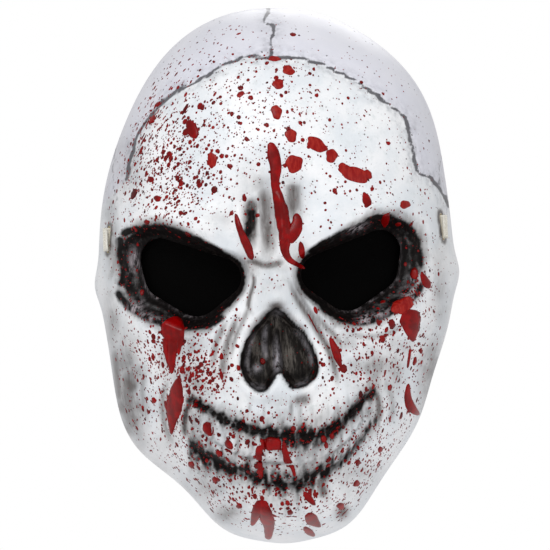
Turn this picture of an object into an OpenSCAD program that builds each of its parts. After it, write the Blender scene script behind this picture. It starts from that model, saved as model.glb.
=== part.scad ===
// Latex skull mask, face only, worn with an elastic band.
// Frame: +Z up, the face looks along -Y, +X is the wearer's left.
// The origin is midway between the two strap slots, on the line that the band swings about.

/* [Shell] */
// Width of the face without the cheekbones
face_w = 186; // [150:1:230]
// Height from chin edge to crown
face_h = 280; // [230:1:340]
// Depth from the widest line to the front of the face
face_d = 85; // [65:1:105]
// Thickness of the latex wall
wall = 3; // [2:0.1:4]
// Depth of the rim behind the widest line
skirt = 12; // [8:1:20]
// Height of the strap slots above the middle of the face
slot_rise = 22; // [10:1:40]
// Distance from the slots back to the widest line
slot_ahead = 30; // [24:1:38]

/* [Eyes] */
// Width of an eye opening
eye_w = 52; // [40:1:62]
// Height of an eye opening
eye_h = 41; // [30:1:50]
// Gap between the two eye openings
eye_gap = 31; // [24:1:44]
// Height of the eyes above the middle of the face
eye_rise = 1; // [-8:1:12]
// Sideways shift of the pair of eyes, from the hand sculpting
eye_shift = -3; // [-4:1:4]
// Width of the socket floor round an opening
socket_ledge = 7; // [5:1:10]
// Depth of the sockets
socket_d = 13; // [8:1:18]

/* [Nose and mouth] */
// Width of the nose cavity
nose_w = 40; // [30:1:48]
// Height of the nose cavity
nose_h = 41; // [32:1:48]
// Depth of the nose cavity
nose_d = 15; // [8:1:18]
// Height of the mouth line below the middle of the face
mouth_drop = 86; // [76:1:96]

/* [Strap] */
// Width of the elastic band
band_w = 12; // [8:1:16]
// Thickness of the elastic band
band_t = 1.2; // [1:0.1:1.5]
// Radius of the band round the back of the head
head_r = 80; // [70:1:88]
// Distance from the slots to the start of the band's curve
band_run = 34; // [28:1:50]
// Length of a strap slot beyond the band's width
slot_play = 2; // [1:0.5:4]
// Width of a strap slot
slot_w = 4; // [3:0.5:6]
// Layers of the folded end that keeps the band from slipping through
fold_layers = 2; // [2:1:3]

/* [Fittings] */
// Thickness of the eye mesh
mesh_t = 0.8; // [0.6:0.1:1.5]
// Width of mesh glued down all round an opening
mesh_margin = 4; // [3:1:6]
// Thickness of the cloth patch behind a slot
patch_t = 1; // [0.8:0.1:1.5]
// Border of the patch round a slot
patch_border = 8; // [6:1:12]
// Thickness of the glue between the wall and the mesh
glue_t = 2; // [1.6:0.1:2.6]
// Gap left between neighbouring pieces
gap = 0.5; // [0.4:0.1:0.8]

/* [Hidden] */
// Cells of the shell across and up
cells_x = 48;
cells_z = 58;
// Share of the cells that cover the front, the rest cover the rim
front_share = 0.875;
// Size of the middle cells against even ones
crowding = 0.5;
// Height of the middle of the face, and the widest line's distance behind the slots
mid_z = -slot_rise;
edge_y = slot_ahead;
half_w = face_w / 2;
half_h = face_h / 2;
// Roundness of the outline above and below the middle
crown_power = 2.2;
jaw_power = 1.7;
// Swellings of the outline: degrees below the middle, spread in degrees,
// height on the wearer's left and on the right; the last two are the lean of the hand sculpting
outline_swells = [
    [1, 6, 2.5, 2.5],
    [48, 12, 3.5, 3.5],
    [76, 8, 5, 5],
    [-50, 17, 5.6, -2],
    [43, 18, -3.2, 7.3]
];
// Fullness of the dome, and how much squarer it gets towards the chin
dome_fullness = 2.3;
chin_fullness = 2;
// Least fullness that the direction of the wall is worked out with
least_full = 0.03;
// Share of the way to the outline at which the sculpted forms begin to fade
forms_end = 0.86;
// How far the rim draws in at its back edge
rim_draw = 0.02;
// Sculpted forms on both sides: x, z, half width, half height, turn, height
side_forms = [
    [44, 29, 34, 8, 14, 6],
    [72, -24, 20, 11, -20, 8],
    [66, -68, 13, 30, 12, -9],
    [84, 44, 12, 24, 0, -4],
    [46, -58, 12, 22, -24, 3]
];
// Sculpted forms on the middle line, in the same order
middle_forms = [
    [0, -6, 10, 14, 0, 9],
    [0, 12, 16, 12, 0, 2],
    [0, -76, 36, 24, 0, 8],
    [0, -mouth_drop, 40, 12, 0, 3],
    [0, -122, 27, 17, 0, 19],
    [0, -107, 38, 6, 0, -2]
];
// Socket outline: rise of its middle, tilt, flatness and width as shares of the eye
socket_lift = 0.02;
socket_tilt = 0.28;
socket_flat = 1.18;
socket_share = 0.98;
// Where the socket wall leaves its floor, and its run past the ledge
socket_floor = -4;
socket_run = 5;
// Radii of the three corners of an eye opening
inner_corner_r = 10;
outer_corner_r = 10.5;
lower_corner_r = 13;
// Drop of the inner corner, inset of the outer one and place of the lower one along the width
inner_corner_drop = 1;
outer_corner_in = 2;
lower_corner_at = 0.45;
// Height of the middle of the nose cavity
nose_z = -37;
// Fullness of the nose cavity's outline, and how soon it widens below its top
nose_full = 0.62;
// Distances inside the cavity's outline at which its side walls and ends begin and reach its floor
nose_sides = [-4, 7];
nose_ends = [-2, 8];
// Slot length, its direction from the middle of the face and its place on the wall
slot_h = band_w + slot_play;
slot_angle = atan(slot_rise / half_w);
slot_x = wall_x(0);
// Turn of the wall at a slot, measured over a short step towards the front
slot_step = 2;
slot_lean = atan((slot_x - wall_x(-slot_step)) / slot_step);
// Lengths of the cutters for the slots and the eyes
slot_cut = 16;
eye_cut = 90;
// Slant of the eye mesh, its edge past the margin, and its cells
eye_slant = 12;
mesh_edge = 2;
mesh_cells = 18;
patch_cells = 8;
// Folded end: thickness, overlap on each side of the slot, width, and free tail of the stem
fold_t = fold_layers * band_t;
fold_overlap = 1.25;
fold_w = slot_w + 2 * fold_overlap;
stem_tail = 1.6;
// Flat steps of the arc round the head
band_steps = 48;
// Bar tack: stitches, thread and length as a share of the fold
stitch_count = 5;
stitch_d = 0.6;
stitch_share = 0.6;

// Bell curve, 1 in the middle
function bell(t) = exp(-t * t);
// Sum of a list from its k-th number on
function total(list, k = 0) = k < len(list) ? list[k] + total(list, k + 1) : 0;
// Smooth step from 0 at a to 1 at b
function ease(a, b, t) = let (s = min(1, max(0, (t - a) / (b - a)))) s * s * (3 - 2 * s);

// Radius of the outline in the direction of an angle above the horizontal
function outline_r(angle) =
    let (
        c = abs(cos(angle)),
        s = sin(angle),
        power = s > 0 ? crown_power : jaw_power,
        below = s > 0 ? -asin(min(1, s)) : asin(min(1, -s)),
        side = cos(angle) < 0 ? 3 : 2
    )
    pow(pow(c / half_w, power) + pow(abs(s) / half_h, power), -1 / power)
        + total([for (k = outline_swells) k[side] * bell((below - k[0]) / k[1])]);

// Fullness of the dome, squarer towards the chin
function dome_power(angle) = dome_fullness + chin_fullness * pow(max(0, -sin(angle)), 2);
function dome(share, angle) = sqrt(max(0, 1 - pow(min(1, share), dome_power(angle))));

// Oval swelling or hollow at x, z of the face
function oval(x, z, form) =
    let (
        dx = x - form[0],
        dz = z - form[1],
        a = dx * cos(form[4]) + dz * sin(form[4]),
        b = dz * cos(form[4]) - dx * sin(form[4])
    )
    form[5] * exp(-pow(a / form[2], 2) - pow(b / form[3], 2));
function ovals(x, z, forms) = total([for (form = forms) oval(x, z, form)]);

// Distance outside the leaning oval of a socket floor
function eye_out(x, z) =
    let (
        across = x - eye_gap / 2 - eye_w / 2,
        up = z - eye_rise - eye_h * (socket_lift + socket_tilt * across / eye_w)
    )
    norm([across, up * socket_flat]) - socket_share * eye_w / 2;
function socket(x, z) = -socket_d * (1 - ease(socket_floor, socket_ledge + socket_run, eye_out(x, z)));

// Half width of the nose cavity at height z, zero outside
function nose_half(z) =
    let (t = (z - nose_z) / nose_h + 0.5)
    t <= 0 || t >= 1 ? 0 : nose_w / 2 * pow(sin(180 * pow(t, nose_full)), nose_full);
function nose_pit(x, z) =
    let (inside = nose_half(z) - abs(x), top = nose_z + nose_h / 2 - z, low = z - nose_z + nose_h / 2)
    -nose_d
        * ease(nose_sides[0], nose_sides[1], inside)
        * ease(nose_ends[0], nose_ends[1], low)
        * ease(nose_ends[0], nose_ends[1], top);

// Sculpted forms, positive towards the front, z measured from the middle of the face
function sculpt(x, z) =
    ovals(abs(x), z, side_forms)
        + ovals(x, z, middle_forms)
        + socket(x < 0 ? eye_shift - x : x - eye_shift, z)
        + nose_pit(x, z);

// Share of the way from the middle to the outline, and how it changes across x and z there
function share(x, z) = norm([x, z]) / outline_r(atan2(z, x));
function lean(angle) =
    let (r = outline_r(angle), x = r * cos(angle), z = r * sin(angle), e = 0.5)
    [share(x + e, z) - share(x - e, z), share(x, z + e) - share(x, z - e)] / (2 * e);

// Share of the way to the outline at which the dome has come back to y
function share_at(y, angle) = pow(1 - pow((edge_y - y) / face_d, 2), 1 / dome_power(angle));
// Half width of the side walls at slot height, y behind the slots
function wall_x(y) = outline_r(slot_angle) * share_at(y, slot_angle) * cos(slot_angle);

// A point of the skin from [x, z, back], where back runs from 0 to 1 over the rim,
// set inwards by a depth below the outer face
function skin(q, depth) =
    let (
        angle = atan2(q[1], q[0]),
        g = min(1, norm([q[0], q[1]]) / outline_r(angle)),
        power = dome_power(angle),
        full = dome(g, angle),
        steep = face_d * power * pow(g, power - 1) / (2 * max(least_full, full)),
        side = lean(angle) * steep,
        n = [side[0], -1, side[1]] / norm([side[0], -1, side[1]]),
        high = sculpt(q[0], q[1]) * (1 - ease(forms_end, 1, g)),
        draw_in = 1 - rim_draw * q[2] * q[2]
    )
    [
        q[0] * draw_in - n[0] * depth,
        edge_y + skirt * q[2] - face_d * full - high - n[1] * depth,
        q[1] * draw_in + mid_z - n[2] * depth
    ];

// The square grid drawn onto a disc: distance from the middle and angle of a grid point
function disc(u, v) =
    let (s = u * sqrt(1 - v * v / 2), t = v * sqrt(1 - u * u / 2))
    [min(1, norm([s, t])), atan2(t, s)];

// A closed sheet between two depths over any grid of skin points
module sheet(grid, near, far) {
    rows = len(grid);
    cols = len(grid[0]);
    count = rows * cols;
    points = [for (depth = [near, far], row = grid, q = row) skin(q, depth)];
    edge = concat(
        [for (c = [0 : cols - 2]) c],
        [for (r = [0 : rows - 2]) r * cols + cols - 1],
        [for (c = [cols - 1 : -1 : 1]) (rows - 1) * cols + c],
        [for (r = [rows - 1 : -1 : 1]) r * cols]
    );
    faces = concat(
        [
            for (r = [0 : rows - 2], c = [0 : cols - 2])
                let (a = r * cols + c, b = a + 1, d = a + cols, e = d + 1)
                for (face = [[a, d, e], [a, e, b], [count + a, count + e, count + d],
                    [count + a, count + b, count + e]])
                    face
        ],
        [
            for (k = [0 : len(edge) - 1])
                let (a = edge[k], b = edge[(k + 1) % len(edge)])
                for (face = [[a, b, count + b], [a, count + b, count + a]])
                    face
        ]
    );
    polyhedron(points, faces, convexity = 10);
}

// Outline of an eye opening on the wearer's left, drawn in x and z
module eye_outline() {
    low = mid_z + eye_rise;
    inner = eye_gap / 2;
    outer = inner + eye_w - outer_corner_r;
    hull() {
        translate([inner + inner_corner_r, low - inner_corner_drop])
            circle(inner_corner_r, $fn = 48);
        translate([outer, low + eye_h / 2 - outer_corner_r])
            circle(outer_corner_r, $fn = 48);
        translate([outer - outer_corner_in, low])
            circle(outer_corner_r, $fn = 48);
        translate([inner + lower_corner_at * eye_w, low - eye_h / 2 + lower_corner_r])
            circle(lower_corner_r, $fn = 48);
    }
}

module eye_cutter(side) {
    translate([eye_shift, 0, 0])
        mirror([side < 0 ? 1 : 0, 0, 0])
            rotate([90, 0, 0])
                linear_extrude(height = eye_cut)
                    eye_outline();
}

// Slot through the side wall, square to the skin there
module slot_cutter(side) {
    at_slot(side)
        rotate([0, 90, 0]) {
            linear_extrude(height = slot_cut, center = true)
                square([slot_h - slot_w, slot_w], center = true);
            for (end = [-1, 1])
                translate([end * (slot_h - slot_w) / 2, 0, 0])
                    cylinder(h = slot_cut, d = slot_w, center = true, $fn = 32);
        }
}

// Local frame of a slot: x points out of the wall, z stays up
module at_slot(side) {
    mirror([side < 0 ? 1 : 0, 0, 0])
        translate([slot_x, 0, 0])
            rotate([0, 0, -slot_lean])
                children();
}

// Skin points of a cell grid over the whole face
function face_grid(nx, nz) = [
    for (r = [0 : nz]) [
        for (c = [0 : nx])
            let (
                d = disc(2 * c / nx - 1, 2 * r / nz - 1),
                front = min(1, d[0] / front_share),
                back = max(0, (d[0] - front_share) / (1 - front_share)),
                reach = outline_r(d[1]) * sin(90 * front * (crowding + (1 - crowding) * front * front))
            )
            [reach * cos(d[1]), reach * sin(d[1]), back]
    ]
];

module face_shell() {
    color("gainsboro")
        difference() {
            sheet(face_grid(cells_x, cells_z), 0, wall);
            for (side = [-1, 1]) {
                eye_cutter(side);
                slot_cutter(side);
            }
        }
}

// A grid drawn for the wearer's left, with its rows turned round for the right
function facing_out(grid, side) =
    side > 0 ? grid : [for (row = grid) [for (c = [len(row) - 1 : -1 : 0]) row[c]]];

// Black see-through mesh, glued behind an eye opening
module eye_mesh(side) {
    grid = [
        for (r = [0 : mesh_cells]) [
            for (c = [0 : mesh_cells])
                let (
                    d = disc(2 * c / mesh_cells - 1, 2 * r / mesh_cells - 1),
                    a = d[0] * cos(d[1]) * (eye_w / 2 + mesh_margin + mesh_edge),
                    b = d[0] * sin(d[1]) * (eye_h / 2 + mesh_margin + mesh_edge),
                    x = eye_gap / 2 + eye_w / 2 + a * cos(eye_slant) - b * sin(eye_slant)
                )
                [side * x + eye_shift, eye_rise + a * sin(eye_slant) + b * cos(eye_slant), 0]
        ]
    ];
    color([0.05, 0.05, 0.05])
        sheet(facing_out(grid, side), wall + glue_t, wall + glue_t + mesh_t);
}

// Cloth patch glued inside the wall to strengthen a slot
module slot_patch(side) {
    half_y = slot_w / 2 + patch_border;
    half_z = slot_h / 2 + patch_border;
    grid = [
        for (r = [0 : patch_cells]) [
            for (c = [0 : patch_cells])
                let (
                    z = slot_rise + half_z * (2 * r / patch_cells - 1),
                    y = half_y * (2 * c / patch_cells - 1),
                    above = asin(z / outline_r(atan2(z, side * half_w))),
                    angle = side > 0 ? above : 180 - above,
                    reach = outline_r(angle) * share_at(y, angle)
                )
                [reach * cos(angle), reach * sin(angle), 0]
        ]
    ];
    color("antiquewhite")
        difference() {
            sheet(facing_out(grid, side), wall + gap, wall + gap + patch_t);
            slot_cutter(side);
        }
}

// Folded end of the band: a stem through the slot and a thick fold outside
module strap_end(side) {
    stem = wall + 2 * gap + patch_t + stem_tail;
    color("ivory")
        at_slot(side) {
            translate([gap, -fold_w / 2, -band_w / 2])
                cube([fold_t, fold_w, band_w]);
            translate([gap - stem, -band_t / 2, -band_w / 2])
                cube([stem, band_t, band_w]);
        }
}

// Bar tack sewn through the folded end
module end_stitches(side) {
    color("white")
        at_slot(side)
            for (k = [0 : stitch_count - 1])
                translate([gap + fold_t, 0, band_w * ((k + 0.5) / stitch_count - 0.5)])
                    translate([0, -fold_w * stitch_share / 2, -stitch_d / 2])
                        cube([stitch_d, fold_w * stitch_share, stitch_d]);
}

// Elastic band as worn: two straight sides, tangent to an arc round the back of the head
module strap_band() {
    start = [slot_x - wall - 2 * gap - patch_t - stem_tail - band_t - gap, gap - band_run];
    first = atan2(start[1], start[0]) + acos(head_r / norm(start));
    turn = (180 - 2 * first) / band_steps;
    normal = [cos(first), sin(first)];
    arc = [for (k = [0 : band_steps]) [cos(first + k * turn), sin(first + k * turn)]];
    outer = [for (q = arc) q * (head_r + band_t / 2)];
    inner = [for (k = [band_steps : -1 : 0]) arc[k] * (head_r - band_t / 2)];
    tip = start + normal * band_t / 2;
    heel = start - normal * band_t / 2;
    color("ivory")
        translate([0, band_run, -band_w / 2])
            linear_extrude(height = band_w)
                polygon(concat([tip], outer, [[-tip[0], tip[1]], [-heel[0], heel[1]]], inner, [heel]));
}

face_shell();
eye_mesh(1);  // eye_mesh_left
eye_mesh(-1);  // eye_mesh_right
slot_patch(1);  // slot_patch_left
slot_patch(-1);  // slot_patch_right
strap_end(1);  // strap_end_left
strap_end(-1);  // strap_end_right
end_stitches(1);  // end_stitches_left
end_stitches(-1);  // end_stitches_right
strap_band();
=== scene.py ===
import math

import bmesh
import bpy
import numpy as np
from mathutils import Matrix, Vector
from mathutils.geometry import convex_hull_2d


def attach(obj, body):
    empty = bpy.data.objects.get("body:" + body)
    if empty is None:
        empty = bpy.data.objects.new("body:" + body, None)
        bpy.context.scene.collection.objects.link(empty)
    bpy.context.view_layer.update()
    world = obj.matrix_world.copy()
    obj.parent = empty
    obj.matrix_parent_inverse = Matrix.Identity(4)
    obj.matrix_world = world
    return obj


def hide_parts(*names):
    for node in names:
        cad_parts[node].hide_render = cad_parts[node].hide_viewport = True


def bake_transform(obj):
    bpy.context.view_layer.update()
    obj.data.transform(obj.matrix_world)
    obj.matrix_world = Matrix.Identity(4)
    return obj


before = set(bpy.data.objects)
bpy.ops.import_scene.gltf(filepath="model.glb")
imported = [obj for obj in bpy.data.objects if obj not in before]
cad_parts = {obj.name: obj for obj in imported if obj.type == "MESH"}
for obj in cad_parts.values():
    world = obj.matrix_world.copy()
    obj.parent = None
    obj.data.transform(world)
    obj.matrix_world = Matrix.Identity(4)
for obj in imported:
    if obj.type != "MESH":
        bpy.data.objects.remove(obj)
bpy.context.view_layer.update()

# Face coordinates below are millimetres: x to the wearer's left, z from the middle of the face.
MM = 0.001
HALF_W = 93.0
HALF_H = 140.0
DEPTH = 85.0
WALL = 3.0
SKIRT = 12.0
EDGE_Y = 30.0
MID_Z = -22.0
RIM_DRAW = 0.02
SWELLS = ((1, 6, 2.5, 2.5), (48, 12, 3.5, 3.5), (76, 8, 5, 5), (-50, 17, 5.6, -2.0), (43, 18, -3.2, 7.3))

EYE_GAP = 31.0
EYE_W = 52.0
EYE_H = 41.0
EYE_RISE = 1.0
EYE_SHIFT = -3.0
SOCKET_D = 13.0

SLOT_H = 14.0
SLOT_W = 4.0
BAND_W = 12.0
BAND_T = 1.2
HEAD_R = 80.0
BAND_RUN = 34.0
FAR = 30.0


# ---------------------------------------------------------------- numbers

def bell(t):
    return np.exp(-t * t)


def ease(a, b, t):
    s = np.clip((t - a) / (b - a), 0, 1)
    return s * s * (3 - 2 * s)


def oval(x, z, cx, cz, rx, rz, turn=0.0, high=1.0):
    c, s = math.cos(math.radians(turn)), math.sin(math.radians(turn))
    a = (x - cx) * c + (z - cz) * s
    b = (z - cz) * c - (x - cx) * s
    return high * np.exp(-(a / rx) ** 2 - (b / rz) ** 2)


def lattice(x, z, size, seed):
    """Smooth random field between -1 and 1 with features of one size."""
    table = np.random.RandomState(seed).uniform(-1, 1, (64, 64))
    u, v = x / size + 1000.0, z / size + 1000.0
    i, j = np.floor(u).astype(int), np.floor(v).astype(int)
    fu, fv = u - i, v - j
    fu, fv = fu * fu * (3 - 2 * fu), fv * fv * (3 - 2 * fv)
    a = table[i % 64, j % 64] * (1 - fu) + table[(i + 1) % 64, j % 64] * fu
    b = table[i % 64, (j + 1) % 64] * (1 - fu) + table[(i + 1) % 64, (j + 1) % 64] * fu
    return a * (1 - fv) + b * fv


def rough(x, z, size, seed):
    """Three octaves of the random field."""
    return (lattice(x, z, size, seed) + 0.5 * lattice(x, z, size / 2, seed + 1)
            + 0.25 * lattice(x, z, size / 4, seed + 2)) / 1.75


def curve(points, steps=6):
    """Smooth curve through given points."""
    p = np.array([points[0]] + list(points) + [points[-1]], float)
    out = []
    for k in range(1, len(p) - 2):
        for t in np.linspace(0, 1, steps, endpoint=False):
            a, b, c, d = p[k - 1], p[k], p[k + 1], p[k + 2]
            out.append(0.5 * (2 * b + (c - a) * t + (2 * a - 5 * b + 4 * c - d) * t ** 2
                              + (3 * b - a - 3 * c + d) * t ** 3))
    out.append(p[-2])
    return np.array(out)


def along(x, z, line):
    """Distance from a line and how far along it the nearest point is, 0 to 1."""
    best = np.full(np.shape(x), 1e9)
    where = np.zeros(np.shape(x))
    count = len(line) - 1
    for k in range(count):
        (ax, az), (bx, bz) = line[k][:2], line[k + 1][:2]
        dx, dz = bx - ax, bz - az
        t = np.clip(((x - ax) * dx + (z - az) * dz) / (dx * dx + dz * dz + 1e-12), 0, 1)
        d = np.hypot(x - ax - t * dx, z - az - t * dz)
        closer = d < best
        best = np.where(closer, d, best)
        where = np.where(closer, (k + t) / count, where)
    return best, where


def close_to(x, z, line, margin):
    """Which points lie within a margin of the box round a line."""
    low, high = np.min(line, 0)[:2] - margin, np.max(line, 0)[:2] + margin
    return (x > low[0]) & (x < high[0]) & (z > low[1]) & (z < high[1])


def stroke(x, z, points, width, taper=0.28):
    """Brush stroke along points: 1 on the line, fading over the width and at both ends."""
    line = curve(points)
    near = close_to(x, z, line, 3 * width)
    d, t = along(x[near], z[near], line)
    total = np.zeros(np.shape(x))
    total[near] = bell(d / width) * ease(0, taper, t) * ease(0, taper, 1 - t)
    return total


def signed(x, z, loop):
    """Distance from a closed outline, negative inside and at most FAR outside."""
    total = np.full(np.shape(x), FAR)
    near = close_to(x, z, loop, FAR)
    px, pz = x[near], z[near]
    d, _ = along(px, pz, np.vstack([loop, loop[:1]]))
    inside = np.zeros(np.shape(px), bool)
    for k in range(len(loop)):
        (ax, az), (bx, bz) = loop[k - 1], loop[k]
        crosses = (az > pz) != (bz > pz)
        inside ^= crosses & (px < (bx - ax) * (pz - az) / (bz - az + 1e-12) + ax)
    total[near] = np.where(inside, -d, np.minimum(d, FAR))
    return total


# ---------------------------------------------------------------- the face as a surface

def outline_r(angle):
    c, s = np.abs(np.cos(angle)), np.sin(angle)
    power = np.where(s > 0, 2.2, 1.7)
    below = np.degrees(-np.arcsin(np.clip(s, -1, 1)))
    r = ((c / HALF_W) ** power + (np.abs(s) / HALF_H) ** power) ** (-1 / power)
    return r + sum(np.where(np.cos(angle) < 0, right, left) * bell((below - at) / spread)
                   for at, spread, left, right in SWELLS)


def dome_power(angle):
    return 2.3 + 2 * np.maximum(0, -np.sin(angle)) ** 2


def share(x, z):
    return np.hypot(x, z) / outline_r(np.arctan2(z, x))


def eye_loop():
    """Outline of the eye opening on the wearer's left, before the pair is shifted."""
    inner, high = EYE_GAP / 2, EYE_RISE
    corners = ((inner + 10, high - 1, 10), (inner + EYE_W - 10.5, high + EYE_H / 2 - 10.5, 10.5),
               (inner + EYE_W - 12.5, high, 10.5), (inner + 0.45 * EYE_W, high - EYE_H / 2 + 13, 13))
    turn = np.linspace(0, 2 * math.pi, 40, endpoint=False)
    dots = [(cx + r * math.cos(a), cz + r * math.sin(a)) for cx, cz, r in corners for a in turn]
    return np.array([dots[k] for k in convex_hull_2d(dots)])


EYE_LOOP = eye_loop()
EYE_MID = EYE_LOOP.mean(0)
NOSE_LOOP = curve([(-1, -15.5), (3, -18.5), (8, -24.5), (13, -29), (17, -36), (19.7, -44), (20, -50), (16.5, -55.5),
                   (10.5, -58.5), (5, -58.5), (2, -54.5), (-1, -50.5), (-4.2, -55.5), (-9, -60), (-15.5, -57.5), (-20, -50.5),
                   (-21, -44), (-19.2, -36), (-15, -28.5), (-10, -22.8), (-5, -18), (-1, -15.5)])[:-1]

UPPER_GUM = curve([(-49, -62), (-44, -63.5), (-38, -67.5), (-30, -72.5), (-20, -76.8), (-9, -80.5), (2, -82.5), (12, -83.5),
                   (20, -82), (28, -78), (36, -71), (42, -65), (47, -61)])
LOWER_GUM = curve([(-50, -85), (-45, -88.5), (-38, -92.5), (-28, -98), (-19, -102), (-10, -106), (0, -108), (8, -107.5),
                   (15, -105), (22, -101), (30, -95.5), (36, -90), (42, -83), (47, -77)])
BITE = curve([(-46, -76), (-37, -82.5), (-28, -88), (-20, -92), (-12, -95), (-2, -96.3), (8, -96.8), (20, -94.5), (30, -88.5),
              (38, -80), (44, -71)])
UPPER_GAPS = (-42, -36, -30, -23.5, -16.5, -9, -1, 8, 16, 23, 29.5, 35.5, 41)
LOWER_GAPS = (-44, -38, -31, -24.5, -17.5, -9.5, -1, 7, 14.5, 21.5, 28, 34, 40)


def level(line, x):
    return np.interp(x, line[:, 0], line[:, 1])


def eye_side(x):
    """x measured outwards from between the eyes, for either eye."""
    return np.where(x < EYE_SHIFT, EYE_SHIFT - x, x - EYE_SHIFT)


def eye_out(x, z):
    return signed(eye_side(x), z, EYE_LOOP)


def socket_reach(x, z):
    """Width of the hollow round an eye opening: wide outside, narrow by the nose."""
    way = np.arctan2(z - EYE_MID[1], eye_side(x) - EYE_MID[0])
    return 8.6 + 4.2 * np.cos(way) - 0.9 * np.sin(way) + 1.0 * np.cos(2 * way)


def soot_reach(x, z):
    """Width of the black round an eye: wide outside, a few millimetres by the nose."""
    way = np.arctan2(z - EYE_MID[1], eye_side(x) - EYE_MID[0])
    c = np.cos(way)
    return 7.6 + 3.9 * c - 1.0 * np.sin(way) - 1.3 * np.minimum(0, c) ** 2, way


def forms(x, z, out):
    """Large sculpted forms, positive towards the front."""
    ax = np.abs(x)
    high = (oval(ax, z, 44, 29, 34, 8, 14, 6) + oval(ax, z, 72, -24, 20, 11, -20, 8)
            + oval(ax, z, 66, -68, 13, 30, 12, -9) + oval(ax, z, 84, 44, 12, 24, 0, -4)
            + oval(ax, z, 46, -58, 12, 22, -24, 3) + oval(x, z, 0, -6, 10, 14, 0, 9)
            + oval(x, z, 0, 12, 16, 12, 0, 2) + oval(x, z, 0, -76, 36, 24, 0, 8)
            + oval(x, z, 0, -86, 40, 12, 0, 3) + oval(x, z, 0, -122, 27, 17, 0, 19)
            + oval(x, z, 0, -107, 38, 6, 0, -2))
    return high - SOCKET_D * (1 - ease(0, 1, out / socket_reach(x, z)))


def nose(x, z):
    """The open nose: a steep pit with a lip, a thin wall down its middle and two deep corners."""
    d = signed(x, z, NOSE_LOOP)
    pit = -12.5 * (1 - ease(-4.2, 0.4, d))
    lip = 1.9 * bell((d - 2.0) / 2.4) + oval(x, z, -1, -13, 9, 5, 0, 2.2)
    septum = 6.0 * bell((x + 1.3) / 1.9) * ease(-56, -48, z) * (1 - ease(-34, -22, z)) * ease(0, 4, -d)
    floor = oval(np.abs(x + 0.3), z, 9.5, -43, 5, 9, 12, 2.2) * ease(0, 4, -d)
    return pit + lip + septum + floor


def gums(x, z, width):
    """The two furrows above and below the teeth."""
    both = bell((z - level(UPPER_GUM, x)) / width) + bell((z - level(LOWER_GUM, x)) / width)
    return both * ease(0, 5, 50 - np.abs(x))


def teeth(x, z):
    up, low, bite = level(UPPER_GUM, x), level(LOWER_GUM, x), level(BITE, x)
    inside = ease(0, 5, 49 - np.abs(x))
    upper = ease(0, 2.5, up - z) * ease(-0.5, 1.0, z - bite)
    lower = ease(0, 2.5, z - low) * ease(-0.5, 1.0, bite - z)
    roots = ease(-2, 3, z - up) * (1 - ease(8, 22, z - up)) * (1 - ease(26, 40, np.abs(x)))
    chin_roots = ease(-2, 3, low - z) * (1 - ease(4, 12, low - z)) * (1 - ease(20, 34, np.abs(x)))
    uneven = x + 0.4 * lattice(x, z, 5.0, 27)
    gap_up = sum(bell((uneven - g) / 0.95) for g in UPPER_GAPS)
    gap_low = sum(bell((uneven - g) / 0.95) for g in LOWER_GAPS)
    root_up = sum(bell((x - g) / 1.6) for g in UPPER_GAPS)
    high = 1.9 * (upper + lower) - 2.4 * gap_up * upper - 2.4 * gap_low * lower
    high -= 0.9 * root_up * roots + 0.5 * gap_low * chin_roots
    high -= 1.9 * bell((z - bite) / 0.9) * ease(-2, 2, up - z) * ease(-2, 2, z - low)
    high -= 3.0 * bell((z - up) / 2.1) + 3.0 * bell((z - low) / 2.2)
    return high * inside


SUTURES = {
    "crown": ([(1.2, 141), (0.4, 137), (-1.6, 133.5), (-0.5, 131), (3.2, 129.5), (2.6, 125), (1.0, 121), (1.4, 116), (1.0, 113)], 1.0),
    "left": ([(1, 113), (-12, 114), (-19, 111.5), (-25, 109), (-31, 105), (-38, 101.5), (-46, 98.5), (-53, 94), (-60, 87.5),
              (-65, 82), (-69, 76.5), (-71.5, 70), (-74, 62), (-76, 53)], 1.0),
    "right": ([(1, 113), (11, 112.5), (20, 111), (29, 107.3), (38, 102.5), (46, 98), (53, 93), (60, 87), (66, 82.5), (69.5, 79),
               (71, 72), (73, 62), (74.3, 53), (75.5, 49.6), (79, 49), (82, 47.5), (86, 43), (89, 38), (91, 33)], 1.0),
    "temple_left": ([(-81, 70), (-82.8, 62), (-83.6, 54), (-82.4, 47), (-81.6, 42), (-84.5, 39)], 0.55),
    "temple_right": ([(88.4, 63), (88.0, 56), (86.4, 49), (86.6, 44)], 0.55),
}
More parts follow.
